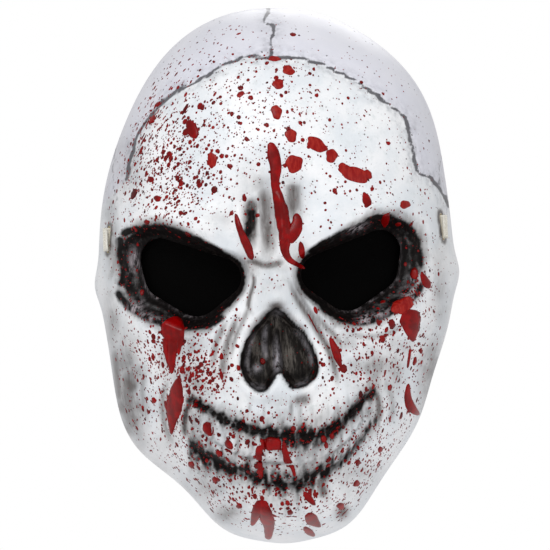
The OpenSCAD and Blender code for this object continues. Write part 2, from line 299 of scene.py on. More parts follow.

# Creases: points, width, depth and how dark they are coloured: black paint in the darkest, grey in the rest that is
# partly paint and partly painted shade in the groove
CREASES = (
    ([(-11.6, 42), (-11.6, 36), (-12.4, 28), (-13.2, 21), (-13.6, 11)], 3.1, 1.6, 1.0),
    ([(-4.8, 49), (-4.6, 40), (-4.4, 30), (-3.6, 18), (-3.2, 6)], 3.2, 1.3, 0.48),
    ([(10, 48), (9.8, 40), (9.2, 29)], 3.4, 1.1, 0.5),
    ([(-1, 40), (0, 28), (0, 16)], 1.6, 0.8, 0.25),
    ([(-20, 7), (-13, 7.5), (-6, 5.5), (0, 6), (6, 7.5)], 1.6, 1.1, 0.5),
    ([(-15, 6), (-12.3, 0), (-12.2, -4), (-14.5, -11), (-15, -16), (-12.5, -21)], 0.9, 0.8, 0.5),
    ([(4.5, 3), (7.5, -7), (12, -16), (17, -24), (22, -33), (26.5, -43), (28.5, -53), (29.5, -60)], 1.4, 1.1, 0.5),
    ([(8, -1), (11, -9), (15, -17), (20, -25), (25, -34)], 1.2, 0.7, 0.36),
    ([(-19, -17), (-24, -27), (-27.5, -36), (-29.5, -46), (-29, -58)], 1.6, 1.0, 0.42),
    ([(-14, -14), (-18, -22), (-23.5, -33), (-26, -44)], 1.1, 0.7, 0.32),
    ([(-26, -21), (-31, -30), (-34, -40), (-35, -50)], 1.6, 0.8, 0.34),
    ([(17, -18), (22, -25), (29, -33), (33, -42)], 1.5, 0.7, 0.36),
    ([(-56, -49), (-60, -56), (-61.5, -65), (-61, -74), (-58.5, -82), (-54, -88)], 1.5, 1.1, 0.34),
    ([(52, -52), (56, -62), (57, -72), (54, -80)], 1.6, 0.9, 0.22),
    ([(-74, -40), (-79, -52), (-80, -64), (-77, -80)], 4.4, 1.6, 0.40),
    ([(-86, -32), (-85, -50), (-84, -66)], 2.2, 0.8, 0.40),
    ([(-70, -44), (-72, -58), (-70, -76)], 1.8, 0.8, 0.26),
    ([(76, -38), (80, -50), (79, -62), (75, -74)], 3.6, 1.3, 0.32),
    ([(-80, 26), (-83, 18), (-84, 8), (-88, -2)], 1.8, 0.6, 0.30),
    ([(-73, -15), (-62, -25), (-50, -31), (-38, -30)], 1.6, 0.7, 0.22),
    ([(30, -28), (42, -33), (56, -32), (68, -24)], 1.6, 0.7, 0.20),
    ([(-44, -60), (-48.5, -66), (-50.5, -75), (-50, -84)], 1.6, 1.3, 0.62),
    ([(46, -58), (49.5, -66), (49.5, -74), (46.5, -80)], 1.6, 1.2, 0.5),
    ([(-44, -68), (-46, -73), (-45, -79)], 1.4, 0.8, 0.30),
    ([(42, -68), (44.5, -72), (44, -77)], 1.4, 0.8, 0.30),
    ([(-22, -112), (-8, -115), (8, -114.5), (22, -110)], 2.4, 0.9, 0.16),
    ([(17, -104), (19, -110), (20, -116)], 2.0, 0.9, 0.55),
    ([(6, -62), (9, -64.5), (12, -64), (13.5, -68)], 2.2, 0.8, 0.45),
    ([(4.5, -64), (4.8, -70), (5.5, -77)], 0.7, 0.6, 0.32),
    ([(9.5, -66), (9, -72), (9.5, -77)], 0.7, 0.5, 0.26),
)


def sutures(x, z, width):
    total = np.zeros(np.shape(x))
    wander_x = x + 0.9 * rough(x, z, 4.0, 11)
    wander_z = z + 0.9 * rough(x, z, 4.0, 14)
    for line, strength in SUTURES.values():
        d, t = along(wander_x, wander_z, np.array(line, float))
        thick = width * (0.55 + 0.6 * strength) * (1 + 0.35 * lattice(t * 100, t, 4, 17))
        total = np.maximum(total, strength * bell(d / thick))
    return total


def fine_forms(x, z):
    high = nose(x, z) + teeth(x, z) - 0.9 * sutures(x, z, 1.3) + 0.35 * sutures(x, z, 3.4)
    for points, width, depth, _ in CREASES:
        high = high - depth * stroke(x, z, points, width)
    high = high + 1.2 * stroke(x, z, [(-8.5, 44), (-8.3, 34), (-8, 22)], 1.8)
    high = high + 1.3 * stroke(x, z, [(-19, 40), (-18, 30), (-15, 20), (-14, 12)], 2.8)
    high = high + 1.6 * stroke(x, z, [(3, 44), (4, 32), (3.5, 18)], 2.6)
    high = high + 1.4 * stroke(x, z, [(-18, -18), (-23, -30), (-25.5, -44), (-25, -56)], 1.8)
    high = high + 1.5 * stroke(x, z, [(13, -10), (19, -22), (24.5, -36), (26, -50)], 2.2)
    high = high + 2.2 * oval(x, z, -45.5, -74, 4.2, 9, 8) + 2.0 * oval(x, z, 45.5, -69, 4.0, 8, -10)
    return high + 0.35 * rough(x, z, 16.0, 21) + 0.12 * rough(x, z, 5.0, 24)


def lean(angle):
    r = outline_r(angle)
    x, z, e = r * np.cos(angle), r * np.sin(angle), 0.5
    return (share(x + e, z) - share(x - e, z)) / (2 * e), (share(x, z + e) - share(x, z - e)) / (2 * e)


def skin(x, z, back, depth, fine=True):
    """Points of the skin in millimetres, at a depth below the outer face, and the broad normals."""
    angle = np.arctan2(z, x)
    g = np.minimum(1, np.hypot(x, z) / outline_r(angle))
    power = dome_power(angle)
    full = np.sqrt(np.maximum(0, 1 - g ** power))
    steep = DEPTH * power * g ** (power - 1) / (2 * np.maximum(0.03, full))
    side_x, side_z = lean(angle)
    n = np.stack([side_x * steep, -np.ones_like(x), side_z * steep], -1)
    n /= np.linalg.norm(n, axis=-1, keepdims=True)
    out = eye_out(x, z)
    high = forms(x, z, out)
    if fine:
        high = high + fine_forms(x, z) * ease(-1.0, 2.0, out)
    else:
        high = high - 9.0 * (1 - ease(-6, 3, signed(x, z, NOSE_LOOP))) - 2.2 * gums(x, z, 4.5)
    high = high * (1 - ease(0.86, 1, g))
    draw = 1 - RIM_DRAW * back * back
    p = np.stack([x * draw, EDGE_Y + SKIRT * back - DEPTH * full - high, z * draw + MID_Z], -1)
    return p - n * np.asarray(depth)[..., None], n


def front(x, z, lift=0.0):
    """A point on the painted face, lifted along its true normal, and that normal."""
    x, z = np.asarray(x, float), np.asarray(z, float)
    e, zero = 0.4, np.zeros_like(x)
    p = skin(x, z, zero, zero)[0]
    px, pz = skin(x + e, z, zero, zero)[0], skin(x, z + e, zero, zero)[0]
    n = np.cross(px - p, pz - p)
    n /= np.linalg.norm(n, axis=-1, keepdims=True)
    n = np.where(n[..., 1:2] > 0, -n, n)
    return p + n * np.asarray(lift)[..., None], n


# ---------------------------------------------------------------- making meshes

def finish_mesh(name, bm, materials):
    mesh = bpy.data.meshes.new(name)
    bm.to_mesh(mesh)
    bm.free()
    for m in materials:
        mesh.materials.append(m)
    for face in mesh.polygons:
        face.use_smooth = True
    obj = bpy.data.objects.new(name, mesh)
    bpy.context.scene.collection.objects.link(obj)
    return obj


def thicken(obj, thickness, offset=-1, inner_material=0):
    """Gives a sheet its thickness and keeps the closed mesh."""
    solid = obj.modifiers.new("wall", "SOLIDIFY")
    solid.thickness, solid.offset = thickness * MM, offset
    solid.material_offset = solid.material_offset_rim = inner_material
    bpy.context.view_layer.update()
    mesh = bpy.data.meshes.new_from_object(obj.evaluated_get(bpy.context.evaluated_depsgraph_get()))
    obj.modifiers.clear()
    obj.data = mesh
    return obj


def put(mesh, name, values):
    attribute = mesh.attributes.get(name) or mesh.attributes.new(name, "FLOAT", "POINT")
    attribute.data.foreach_set("value", np.asarray(values, np.float32))


def get(mesh, name):
    values = np.zeros(len(mesh.vertices), np.float32)
    mesh.attributes[name].data.foreach_get("value", values)
    return values.astype(float)


def places(mesh):
    co = np.empty(len(mesh.vertices) * 3)
    mesh.vertices.foreach_get("co", co)
    return co.reshape(-1, 3) / MM


def move_to(mesh, points):
    mesh.vertices.foreach_set("co", (np.asarray(points) * MM).ravel())
    mesh.update()


def grid(bm, across, up):
    """A flat grid, and its points as u and v from -1 to 1."""
    made = bmesh.ops.create_grid(bm, x_segments=across, y_segments=up, size=1)["verts"]
    u, v = np.array([w.co for w in made])[:, :2].T
    return made, u, v


def place(verts, points):
    for v, p in zip(verts, np.asarray(points) * MM):
        v.co = p


def disc(u, v):
    """The square grid drawn onto a disc: distance from the middle and angle."""
    s, t = u * np.sqrt(1 - v * v / 2), v * np.sqrt(1 - u * u / 2)
    return np.minimum(1, np.hypot(s, t)), np.arctan2(t, s)


# ---------------------------------------------------------------- the shell

SLOT_ANGLE = math.atan2(-MID_Z, HALF_W)


def side_x(y):
    """x of the side wall at slot height, y behind the slots."""
    share_there = (1 - ((EDGE_Y - y) / DEPTH) ** 2) ** (1 / dome_power(SLOT_ANGLE))
    return float(outline_r(SLOT_ANGLE) * share_there * math.cos(SLOT_ANGLE))


SLOT_X = side_x(0)
SLOT_LEAN = math.atan((SLOT_X - side_x(-2)) / 2)


def at_slot(side, out, back, up):
    """A point given in the slot's own directions: out of the wall, back and up."""
    c, s = math.cos(SLOT_LEAN), math.sin(SLOT_LEAN)
    return side * (SLOT_X + out * c + back * s), -out * s + back * c, up


def snap(x, z, field, rim):
    """Moves the rim points of a hole onto the line where its field is zero."""
    e = 0.15
    for _ in range(3):
        f = field(x[rim], z[rim])
        fx = (field(x[rim] + e, z[rim]) - f) / e
        fz = (field(x[rim], z[rim] + e) - f) / e
        step = f / np.maximum(fx * fx + fz * fz, 0.05)
        x[rim] -= np.clip(step * fx, -0.8, 0.8)
        z[rim] -= np.clip(step * fz, -0.8, 0.8)


def cut_slot(bm, side):
    """Cuts the strap slot, a long hole with round ends, out of one side wall."""
    middle = Vector((side * SLOT_X, 0, 0)) * MM
    backwards = Vector((side * math.sin(SLOT_LEAN), math.cos(SLOT_LEAN), 0))
    planes = []
    for k in range(12):
        turn = math.radians(30 * k)
        way = backwards * math.cos(turn) + Vector((0, 0, math.sin(turn)))
        planes.append((way, (abs(math.sin(turn)) * (SLOT_H - SLOT_W) / 2 + SLOT_W / 2) * MM))
    reach = 11 * MM
    for way, distance in planes:
        near = [f for f in bm.faces if (f.calc_center_median() - middle).length < reach]
        parts = set(near) | {e for f in near for e in f.edges} | {v for f in near for v in f.verts}
        bmesh.ops.bisect_plane(bm, geom=list(parts), plane_co=middle + way * distance, plane_no=way)
    near = [f for f in bm.faces if (f.calc_center_median() - middle).length < reach]
    gone = [f for f in near if all((f.calc_center_median() - middle).dot(way) < d for way, d in planes)]
    bmesh.ops.delete(bm, geom=gone, context="FACES")


def inside_of(x, z, back):
    """The smooth inside of the wall under each point, and the way out of the wall there."""
    zero, e = np.zeros_like(x), 0.6
    p, broad = skin(x, z, back, zero, fine=False)
    px, pz = skin(x + e, z, back, zero, fine=False)[0], skin(x, z + e, back, zero, fine=False)[0]
    n = np.cross(px - p, pz - p)
    n /= np.linalg.norm(n, axis=-1, keepdims=True) + 1e-9
    n = np.where(n[:, 1:2] > 0, -n, n)
    share_out = ease(0.84, 0.94, np.hypot(x, z) / outline_r(np.arctan2(z, x)))[:, None]
    n = n * (1 - share_out) + broad * share_out
    n /= np.linalg.norm(n, axis=-1, keepdims=True)
    straight = (1 - ease(0.5, 6, eye_out(x, z)))[:, None] * (1 - share_out)
    way = n * (1 - 0.75 * straight) + np.array([0, -1.0, 0]) * 0.75 * straight
    way /= np.linalg.norm(way, axis=-1, keepdims=True)
    return p - way * WALL, way


def make_shell(paint, raw):
    front_share, crowding = 0.9, 0.5
    bm = bmesh.new()
    layers = [bm.verts.layers.float.new(name) for name in ("face_x", "face_z", "rim_back")]
    verts, u, v = grid(bm, 180, 250)
    rho, angle = disc(u, v)
    near = np.minimum(1, rho / front_share)
    back = np.maximum(0, (rho - front_share) / (1 - front_share))
    reach = outline_r(angle) * np.sin(math.pi / 2 * near * (crowding + (1 - crowding) * near ** 2))
    x, z = reach * np.cos(angle), reach * np.sin(angle)
    corners = np.array([[w.index for w in f.verts] for f in bm.faces])
    hole = eye_out(x, z)[corners].mean(1) < 0
    gone = [f for f, hit in zip(bm.faces, hole) if hit]
    touched = {w for f in gone for w in f.verts}
    bmesh.ops.delete(bm, geom=gone, context="FACES_ONLY")
    rim = np.array(sorted(w.index for w in touched if w.link_faces))
    snap(x, z, eye_out, rim)
    place(verts, skin(x, z, back, np.zeros_like(x))[0])
    for w, *three in zip(verts, x, z, back):
        for layer, value in zip(layers, three):
            w[layer] = value
    for side in (-1, 1):
        cut_slot(bm, side)
    bmesh.ops.delete(bm, geom=[w for w in bm.verts if not w.link_faces], context="VERTS")
    obj = finish_mesh("latex_shell", bm, [paint, raw])
    x, z, back = (get(obj.data, name) for name in ("face_x", "face_z", "rim_back"))
    outer = places(obj.data)
    paint_shell(obj.data, x, z, outer)
    inner, n = inside_of(x, z, back)
    inner += n * (0.25 * rough(x, z, 9.0, 41) + 0.12 * rough(x, z, 3.0, 43))[:, None]
    inner -= n * np.maximum(0, 1.4 - np.einsum("ij,ij->i", outer - inner, n))[:, None]
    by_slot = np.hypot(np.hypot(np.abs(outer[:, 0]) - SLOT_X, outer[:, 1]), outer[:, 2]) < 13
    inner[by_slot] = (outer - n * WALL)[by_slot]
    thicken(obj, WALL, inner_material=1)
    move_to(obj.data, np.vstack([outer, inner]))
    by_eye = set(np.flatnonzero(eye_out(x, z) < 0.6))
    for face in obj.data.polygons:
        if max(face.vertices) >= len(outer) and by_eye.intersection(face.vertices):
            face.material_index = 0
    return obj


# Smudges of airbrushed grey, and painted shade in the hollows of the cheeks, sides and jaw: middle x and z, half width
# and height, amount
SMUDGES_AND_HOLLOW_SHADE = ((-79, -60, 8, 28, 0.74), (79, -58, 7, 24, 0.54), (-44, -50, 16, 13, 0.40), (46, -50, 13, 12, 0.38), (58, -48, 6, 14, 0.34), (0, -6, 14, 12, 0.14), (0, -74, 34, 8, 0.12), (-57, -70, 9, 18, 0.26), (50, -48, 7, 6, 0.50),
           (9, -65, 5, 3.5, 0.62), (20, -112, 3.5, 5, 0.60), (29, -123.5, 3.2, 4, 0.90), (-30, -122, 7, 5, 0.50),
           (-8, 40, 9, 16, 0.34), (9, 36, 5.5, 12, 0.50), (-4, 22, 5, 20, 0.42), (-1, -15.8, 4.5, 3.6, 0.85),
           (34, -36, 6, 6, 0.46), (-85, 20, 4, 22, 0.40), (-74, 58, 8, 16, 0.22), (-54, -40, 9, 7, 0.42),
           (-44, -36, 11, 7, 0.34), (-20, 2, 5, 6, 0.50), (-46, -72, 5, 12, 0.36), (46, -68, 4.5, 10, 0.36),
           (-62, -14, 12, 5, 0.3), (0, -64, 30, 5, 0.14), (-38, -108, 14, 8, 0.30), (36, -104, 12, 10, 0.24),
           (-44, -50, 9, 9, 0.34), (46, -58, 7, 6, 0.40), (-14, 6, 7, 7, 0.42), (12, 10, 6, 6, 0.36),
           (0, -111, 22, 4, 0.34), (-20, -112, 10, 5, 0.36), (62, -40, 9, 5, 0.22), (84, -10, 5, 24, 0.30),
           (-86, -22, 4, 20, 0.34), (-70, -100, 10, 8, 0.20), (0, 6, 9, 5, 0.34), (-26, 30, 8, 6, 0.18))

# Spots where the white shows through again: middle, half sizes, turn, amount
RUBS = ((-73.8, 11, 2.2, 5, 0, 0.75), (-75, 5.5, 1.6, 2.5, 0, 0.55), (-74, -14, 4.5, 3, 40, 0.7), (-65, -20, 8, 2.2, -28, 0.55),
        (71.5, -4, 2.6, 2.6, 0, 0.9), (69, -13, 5, 3.5, -40, 0.7), (44.5, -24.5, 4, 3.0, 20, 0.8), (52, -22, 6, 2.2, 18, 0.5),
        (42, 22.8, 4.5, 1.6, 18, 0.8))


# Strokes that carry the black out past the eye sockets: points and width
LIDS = (([(-81, 23), (-75, 26), (-66, 26.5), (-52, 24.5), (-38, 18.5), (-25, 10), (-17, 4)], 2.3),
        ([(-80, 24), (-80.5, 14), (-79, 4), (-82, -3)], 2.6),
        ([(-84, -3), (-79.5, -10.5), (-71.5, -16.5), (-61, -21.5), (-49, -24), (-36, -23.5), (-26, -18)], 2.5),
        ([(12, 8), (28, 17.5), (46, 24), (60, 26), (70, 21), (74, 10), (74, -2)], 2.0),
        ([(76, -4), (71, -13), (60, -20), (48, -25), (38, -25), (28, -19), (18, -8)], 2.0))


def tooth_gap_shade(x, z):
    """Painted shade in the grooves between the teeth, between their roots and along the bite."""
    up, low, bite = level(UPPER_GUM, x), level(LOWER_GUM, x), level(BITE, x)
    uneven = x + 0.6 * lattice(x, z, 4.0, 49)
    lower = sum(bell((uneven - g) / 0.9) for g in LOWER_GAPS) * ease(-1, 3, z - low) * ease(-1, 1, bite - z)
    upper = sum(bell((uneven - g) / 0.9) for g in UPPER_GAPS) * ease(-1, 3, up - z) * ease(-1, 1, z - bite)
    across = bell((z - bite + 0.5 * lattice(x, z, 3.0, 50)) / 0.8) * ease(0, 4, 44 - np.abs(x))
    roots = sum(bell((x - g) / 0.8) for g in UPPER_GAPS[4:10]) * ease(0, 3, z - up) * (1 - ease(8, 17, z - up))
    patchy = 0.7 + 0.7 * rough(x, z, 6.0, 40)
    return patchy * np.maximum(0.62 * np.maximum(lower, np.maximum(upper, across)), 0.5 * roots)


def mouth_bands(x, z, spread=1.0):
    """Black brushed into the two furrows of the mouth, thick and thin along their length."""
    inside = ease(0, 5, 52 - np.abs(x))
    bristles = lattice(x * 1.6, z * 0.35, 2.0, 47)
    scallop = 3.2 * np.abs(np.sin((x + 1) * math.pi / 7.6)) ** 1.5 * (1 - ease(20, 30, np.abs(x)))
    wide_up = spread * (3.4 + 3.0 * bell((x - 9) / 16))
    wide_low = spread * (4.2 + 3.0 * bell((x + 45) / 9) + 2.2 * bell((x + 2) / 16) - 0.8 * ease(24, 36, x))
    hairs = 0.9 + 0.45 * lattice(x * 2.0 + z * 0.5, z * 0.3, 1.5, 53)
    upper = bell((z - level(UPPER_GUM, x) + 0.4 + 1.4 * bristles) / wide_up)
    lower = bell((z - level(LOWER_GUM, x) + 0.6 - scallop - 1.6 * bristles) / wide_low)
    patchy = ease(-0.7, 0.2, 0.44 + 0.4 * bell((x - 8) / 26) + 0.8 * rough(x, z, 4.0, 35) + 0.25 * bristles)
    thinner = ease(-0.7, 0.2, 0.46 + 0.8 * rough(x, z, 4.0, 37) + 0.3 * bristles) * (1 - 0.25 * ease(20, 30, x))
    return inside * hairs * np.maximum(1.05 * upper * patchy, lower * thinner)


def paint_shell(mesh, x, z, outer):
    """Paint layers of the face, stored on its points, among them painted shade and a painted highlight."""
    out = eye_out(x, z)
    reach, way = soot_reach(x, z)
    uneven = out / reach + 0.16 * rough(x, z, 4.0, 31) + 0.07 * lattice(x, z, 1.2, 32)
    in_nose = signed(x, z, NOSE_LOOP)
    soot = np.maximum((1 - ease(0.70, 1.12, uneven)) * (1 - 0.34 * bell((uneven - 0.45) / 0.2) * ease(0.2, 0.8, np.cos(way + 0.3))), 1 - ease(-1.4, 0.8, in_nose + 0.6 * rough(x, z, 3.0, 33)))
    soot = np.maximum(soot, mouth_bands(x, z))
    for line, width in LIDS:
        soot = np.maximum(soot, stroke(x, z, line, width, 0.1) * (1.05 + 0.3 * rough(x, z, 3.0, 38)))
    shade = mouth_bands(x, z, 2.0)
    # Grey layer: partly airbrushed grey beyond the black of the eyes and nose, partly painted shade in hollows,
    # creases, tooth gaps, beside the mouth furrows and round the strap slots.
    airbrush_and_shade = np.maximum(0.55 * (1 - ease(0.85, 1.6, uneven)), 0.5 * (1 - ease(0, 3.5, in_nose)) * ease(-34, -22, z))
    airbrush_and_shade = np.maximum(airbrush_and_shade, 0.6 * shade)
    airbrush_and_shade = np.maximum(airbrush_and_shade, tooth_gap_shade(x, z) * ease(0, 6, 51 - np.abs(x)))
    # Black paint lies in the darkest creases; the others get grey, partly paint and partly painted shade in the groove.
    for line, width, _, dark in CREASES:
        mark = stroke(x, z, line, width * 1.15)
        if dark > 0.6:
            soot = np.maximum(soot, dark * mark ** 1.5 * (0.85 + 0.9 * rough(x, z, 3.0, 36)))
        airbrush_and_shade = np.maximum(airbrush_and_shade, min(1.0, dark * 1.7) * mark)
    for cx, cz, rx, rz, amount in SMUDGES_AND_HOLLOW_SHADE:
        airbrush_and_shade = np.maximum(airbrush_and_shade, amount * oval(x, z, cx, cz, rx, rz) * (0.85 + 0.7 * rough(x, z, 6.0, 39)))
    # Painted shadow: a dark line round the edge of each strap slot, where the gap in the wall lies in shade.
    from_slot = np.hypot(outer[:, 1], np.maximum(0, np.abs(outer[:, 2]) - 5)) + 99 * (np.abs(outer[:, 0]) < 70)
    airbrush_and_shade = np.maximum(airbrush_and_shade, 0.85 * bell((from_slot - 3.0) / 1.3))
    drybrush_and_highlight = np.zeros_like(x)
    for cx, cz, rx, rz, turn, amount in RUBS:
        drybrush_and_highlight = np.maximum(drybrush_and_highlight, amount * oval(x, z, cx, cz, rx, rz, turn))
    # Painted highlight: a pale line along the outer and lower cut edge of each eye opening.
    drybrush_and_highlight = np.maximum(drybrush_and_highlight, 0.8 * bell((out - 0.5) / 0.45) * ease(0.1, 0.8, np.cos(way + 0.7)) * (0.6 + 0.6 * rough(x, z, 4.0, 34)))
    nostrils = oval(x, z, -9, -53.5, 5, 4) + oval(x, z, 9.5, -52, 6.5, 4.5)
    septum = 0.9 * oval(x, z, -1.8, -44, 1.5, 8) + 0.6 * oval(x, z, -12, -47.5, 2.5, 2.0) + 0.35 * oval(x, z, 0, -18, 3, 2.5)
    for line in ([(-12, -28), (-15.5, -36), (-17, -45), (-15, -52)], [(7, -27), (12, -33), (15.5, -41), (16.5, -49)],
                 [(-16, -54), (-12, -57), (-8, -57)], [(7, -56), (11, -56.5), (15, -53.5)], [(-6, -24), (-8, -34), (-7, -44)]):
        septum = np.maximum(septum, 0.5 * stroke(x, z, line, 0.9))
    crown = ease(-1.5, 1.5, signed(x, z, FACE_FIELD))
    put(mesh, "soot", soot)
    put(mesh, "airbrush_and_shade", np.clip(airbrush_and_shade, 0, 1))
    put(mesh, "drybrush_and_highlight", drybrush_and_highlight)
    put(mesh, "suture", sutures(x, z, 0.95))
    # Painted shade: a soft grey band either side of each suture groove.
    put(mesh, "suture_shade", sutures(x, z, 4.2))
    put(mesh, "crown", crown)
    # Painted shade: the paint turns grey towards the outline, where the face turns from the light.
    put(mesh, "edge", ease(0.80, 0.995, np.minimum(1, share(x, z)) + 0.02 * rough(x, z, 12.0, 45)))
    put(mesh, "pit", (1 - ease(-4.0, -1.0, in_nose)) * np.clip(1 - nostrils, 0, 1))
    put(mesh, "septum", septum * (1 - ease(-3.0, -0.5, in_nose)))


# The white paint stops at the suture across the forehead: this loop holds the white face
FACE_FIELD = np.array([(91, 33)] + [tuple(p) for p in SUTURES["right"][0][::-1][1:]]
                       + [tuple(p) for p in SUTURES["left"][0]] + [(-90, 40), (-140, 20), (-140, -200), (140, -200), (140, 33)], float)


# ---------------------------------------------------------------- blood

def lay(verts, x, z, lift):
    """Lays a flat patch of points onto the painted face at a height above it."""
    place(verts, front(x, z, lift)[0])


def drip(bm, points, height=0.55):
    """A run of blood along points given as x, z, half width, thick in the middle and round at both ends."""
    line = curve(points, 4)
    length = np.concatenate([[0], np.cumsum(np.hypot(*np.diff(line[:, :2], axis=0).T))])
    count = max(6, int(length[-1] / 0.7))
    verts, u, v = grid(bm, 7, count)
    t = (v + 1) / 2
    end = np.clip(np.minimum(t, 1 - t) * length[-1] / 1.6, 0, 1)
    round_end = np.sqrt(np.maximum(0.0, 1 - (1 - end) ** 2))
    cx, cz, half = (np.interp(t * length[-1], length, line[:, k]) for k in range(3))
    slope = np.gradient(line[:, :2], length + np.arange(len(length)) * 1e-9, axis=0)
    dx, dz = (np.interp(t * length[-1], length, slope[:, k]) for k in range(2))
    size = np.hypot(dx, dz) + 1e-9
    wobble = 1 + 0.16 * rough(cx, cz + 40 * np.sign(u), 3.0, 51)
    wide = u * half * wobble * (0.12 + 0.88 * round_end)
    lay(verts, cx - dz / size * wide, cz + dx / size * wide,
        height * np.sqrt(np.maximum(0, 1 - u ** 2)) * (0.15 + 0.85 * round_end) + 0.02)
    return verts


def blob(bm, cx, cz, rx, rz, turn=0.0, height=0.45, ragged=0.14):
    """A splash of blood: an oval with an uneven edge, domed in the middle."""
    cells = int(np.clip(2 * max(rx, rz) / 0.7, 6, 22))
    verts, u, v = grid(bm, cells, cells)
    rho, angle = disc(u, v)
    edge = 1 + ragged * (np.sin(2 * angle + cx) + np.sin(3 * angle + 2.1 * cz) + 0.8 * np.sin(5 * angle + cx * cz)) / 2
    a, b = rho * edge * rx * np.cos(angle), rho * edge * rz * np.sin(angle)
    c, s = math.cos(math.radians(turn)), math.sin(math.radians(turn))
    lay(verts, cx + a * c - b * s, cz + a * s + b * c, height * np.sqrt(np.maximum(0, 1 - rho ** 2)) + 0.02)
    return verts


RUNS = {
    "forehead": [
        [(-1, 68.5, 1.6), (0.6, 62, 3.1), (1.4, 55, 3.0), (0.8, 47, 2.2), (2.4, 39, 2.9), (3.8, 31, 3.6), (5, 22, 3.4), (4.6, 13, 2.4),
         (6.5, 8, 1.6), (11, 5, 1.2), (14.5, 3, 0.7)],
        [(10.8, 31.5, 1.4), (11.5, 27, 2.9), (9.6, 21.5, 3.4), (6, 17, 2.6)],
        [(12.6, 17, 0.9), (13.2, 12.5, 1.7), (13.4, 8, 1.1)],
        [(-20, 32.5, 0.8), (-18.6, 26, 1.6), (-16, 19, 2.0), (-13.8, 13, 2.2), (-12.2, 8.5, 1.1)],
        [(-42.6, 82, 1.2), (-41.4, 78.5, 2.7), (-39.8, 74.5, 2.6), (-38.8, 72, 0.9)],
    ],
    "left_eye": [
        [(-57, -20, 4.2), (-55, -24, 6.4), (-54, -28, 5.8), (-54.4, -31.5, 5.4)],
        [(-58.6, -29.5, 1.5), (-58.8, -35, 1.4), (-58.2, -40, 0.9), (-57.6, -44, 0.5)],
        [(-54.6, -29.5, 3.2), (-55, -35, 2.6), (-55.8, -41, 2.2), (-56.2, -48.5, 1.0)],
        [(-50.6, -29.5, 2.0), (-51.4, -34, 1.3), (-52.2, -39, 0.6)],
    ],
    "left_cheek": [
        [(-52.6, -50.5, 0.9), (-53.6, -56, 3.2), (-54.8, -62.5, 4.3), (-56, -69, 3.6), (-57.2, -76, 1.7), (-57.6, -80, 0.6)],
    ],
    "right_eye": [
        [(67.8, -20, 3.4), (68, -25, 5.6), (68.4, -30, 4.2), (69, -37, 1.0)],
        [(67.4, -40, 0.6), (66.6, -45, 0.7), (65.6, -50.5, 0.5)],
        [(74.6, -0.8, 0.5), (75.6, -4, 1.7), (77.4, -7.6, 2.2), (79, -9.6, 0.8)],
        [(66, -58.5, 0.8), (65.4, -65, 1.9), (67, -71, 2.4), (71.4, -75.5, 0.9)],
    ],
    "mouth": [
        [(-11.6, -86.5, 1.8), (-12.8, -91, 1.8), (-12.6, -97, 1.5), (-12.2, -104, 1.2)],
        [(-11.5, -87, 2.4), (-6.2, -86, 3.5), (-1.8, -87, 2.6), (0.4, -90, 1.8), (1.6, -95, 1.9), (4, -98.5, 1.2), (5.2, -103.5, 0.8)],
        [(-39, -73.5, 1.6), (-38.2, -77.5, 2.7), (-36.4, -81, 1.2)],
        [(-28.8, -82.8, 0.9), (-28, -86.4, 2.1), (-27.2, -90, 0.9)],
    ],
    "chin": [
        [(-12.8, -115, 1.6), (-14.6, -120, 2.6), (-16.4, -125, 1.9), (-18, -129, 0.8)],
        [(-12, -115, 1.8), (-11.2, -119.5, 3.0), (-10, -124.5, 3.7), (-9.2, -129, 2.9), (-9.4, -133.5, 2.3), (-9.8, -137.2, 1.6)],
        [(9.4, -111.4, 0.8), (12, -115, 1.7), (15.2, -118.8, 0.8)],
        [(11.4, -122.6, 2.0), (12.8, -126.2, 3.4), (15.4, -129, 2.2), (17.8, -131, 0.7)],
        [(8.8, -130.6, 1.0), (11.8, -133.8, 1.8), (14.6, -136.4, 0.8)],
    ],
    "nose": [
        [(-30.7, -47.6, 0.5), (-30.5, -50, 1.0), (-30.2, -52.6, 0.5)],
        [(25.8, -32.6, 0.6), (28, -38, 2.0), (29.6, -43.4, 1.9), (31, -48.6, 0.6)],
        [(18.4, -16.6, 0.6), (19.2, -18.8, 1.0), (19.8, -20.6, 0.5)],
        [(15, -20, 0.35), (17.4, -25, 0.4), (20, -30.5, 0.35)],
    ],
}

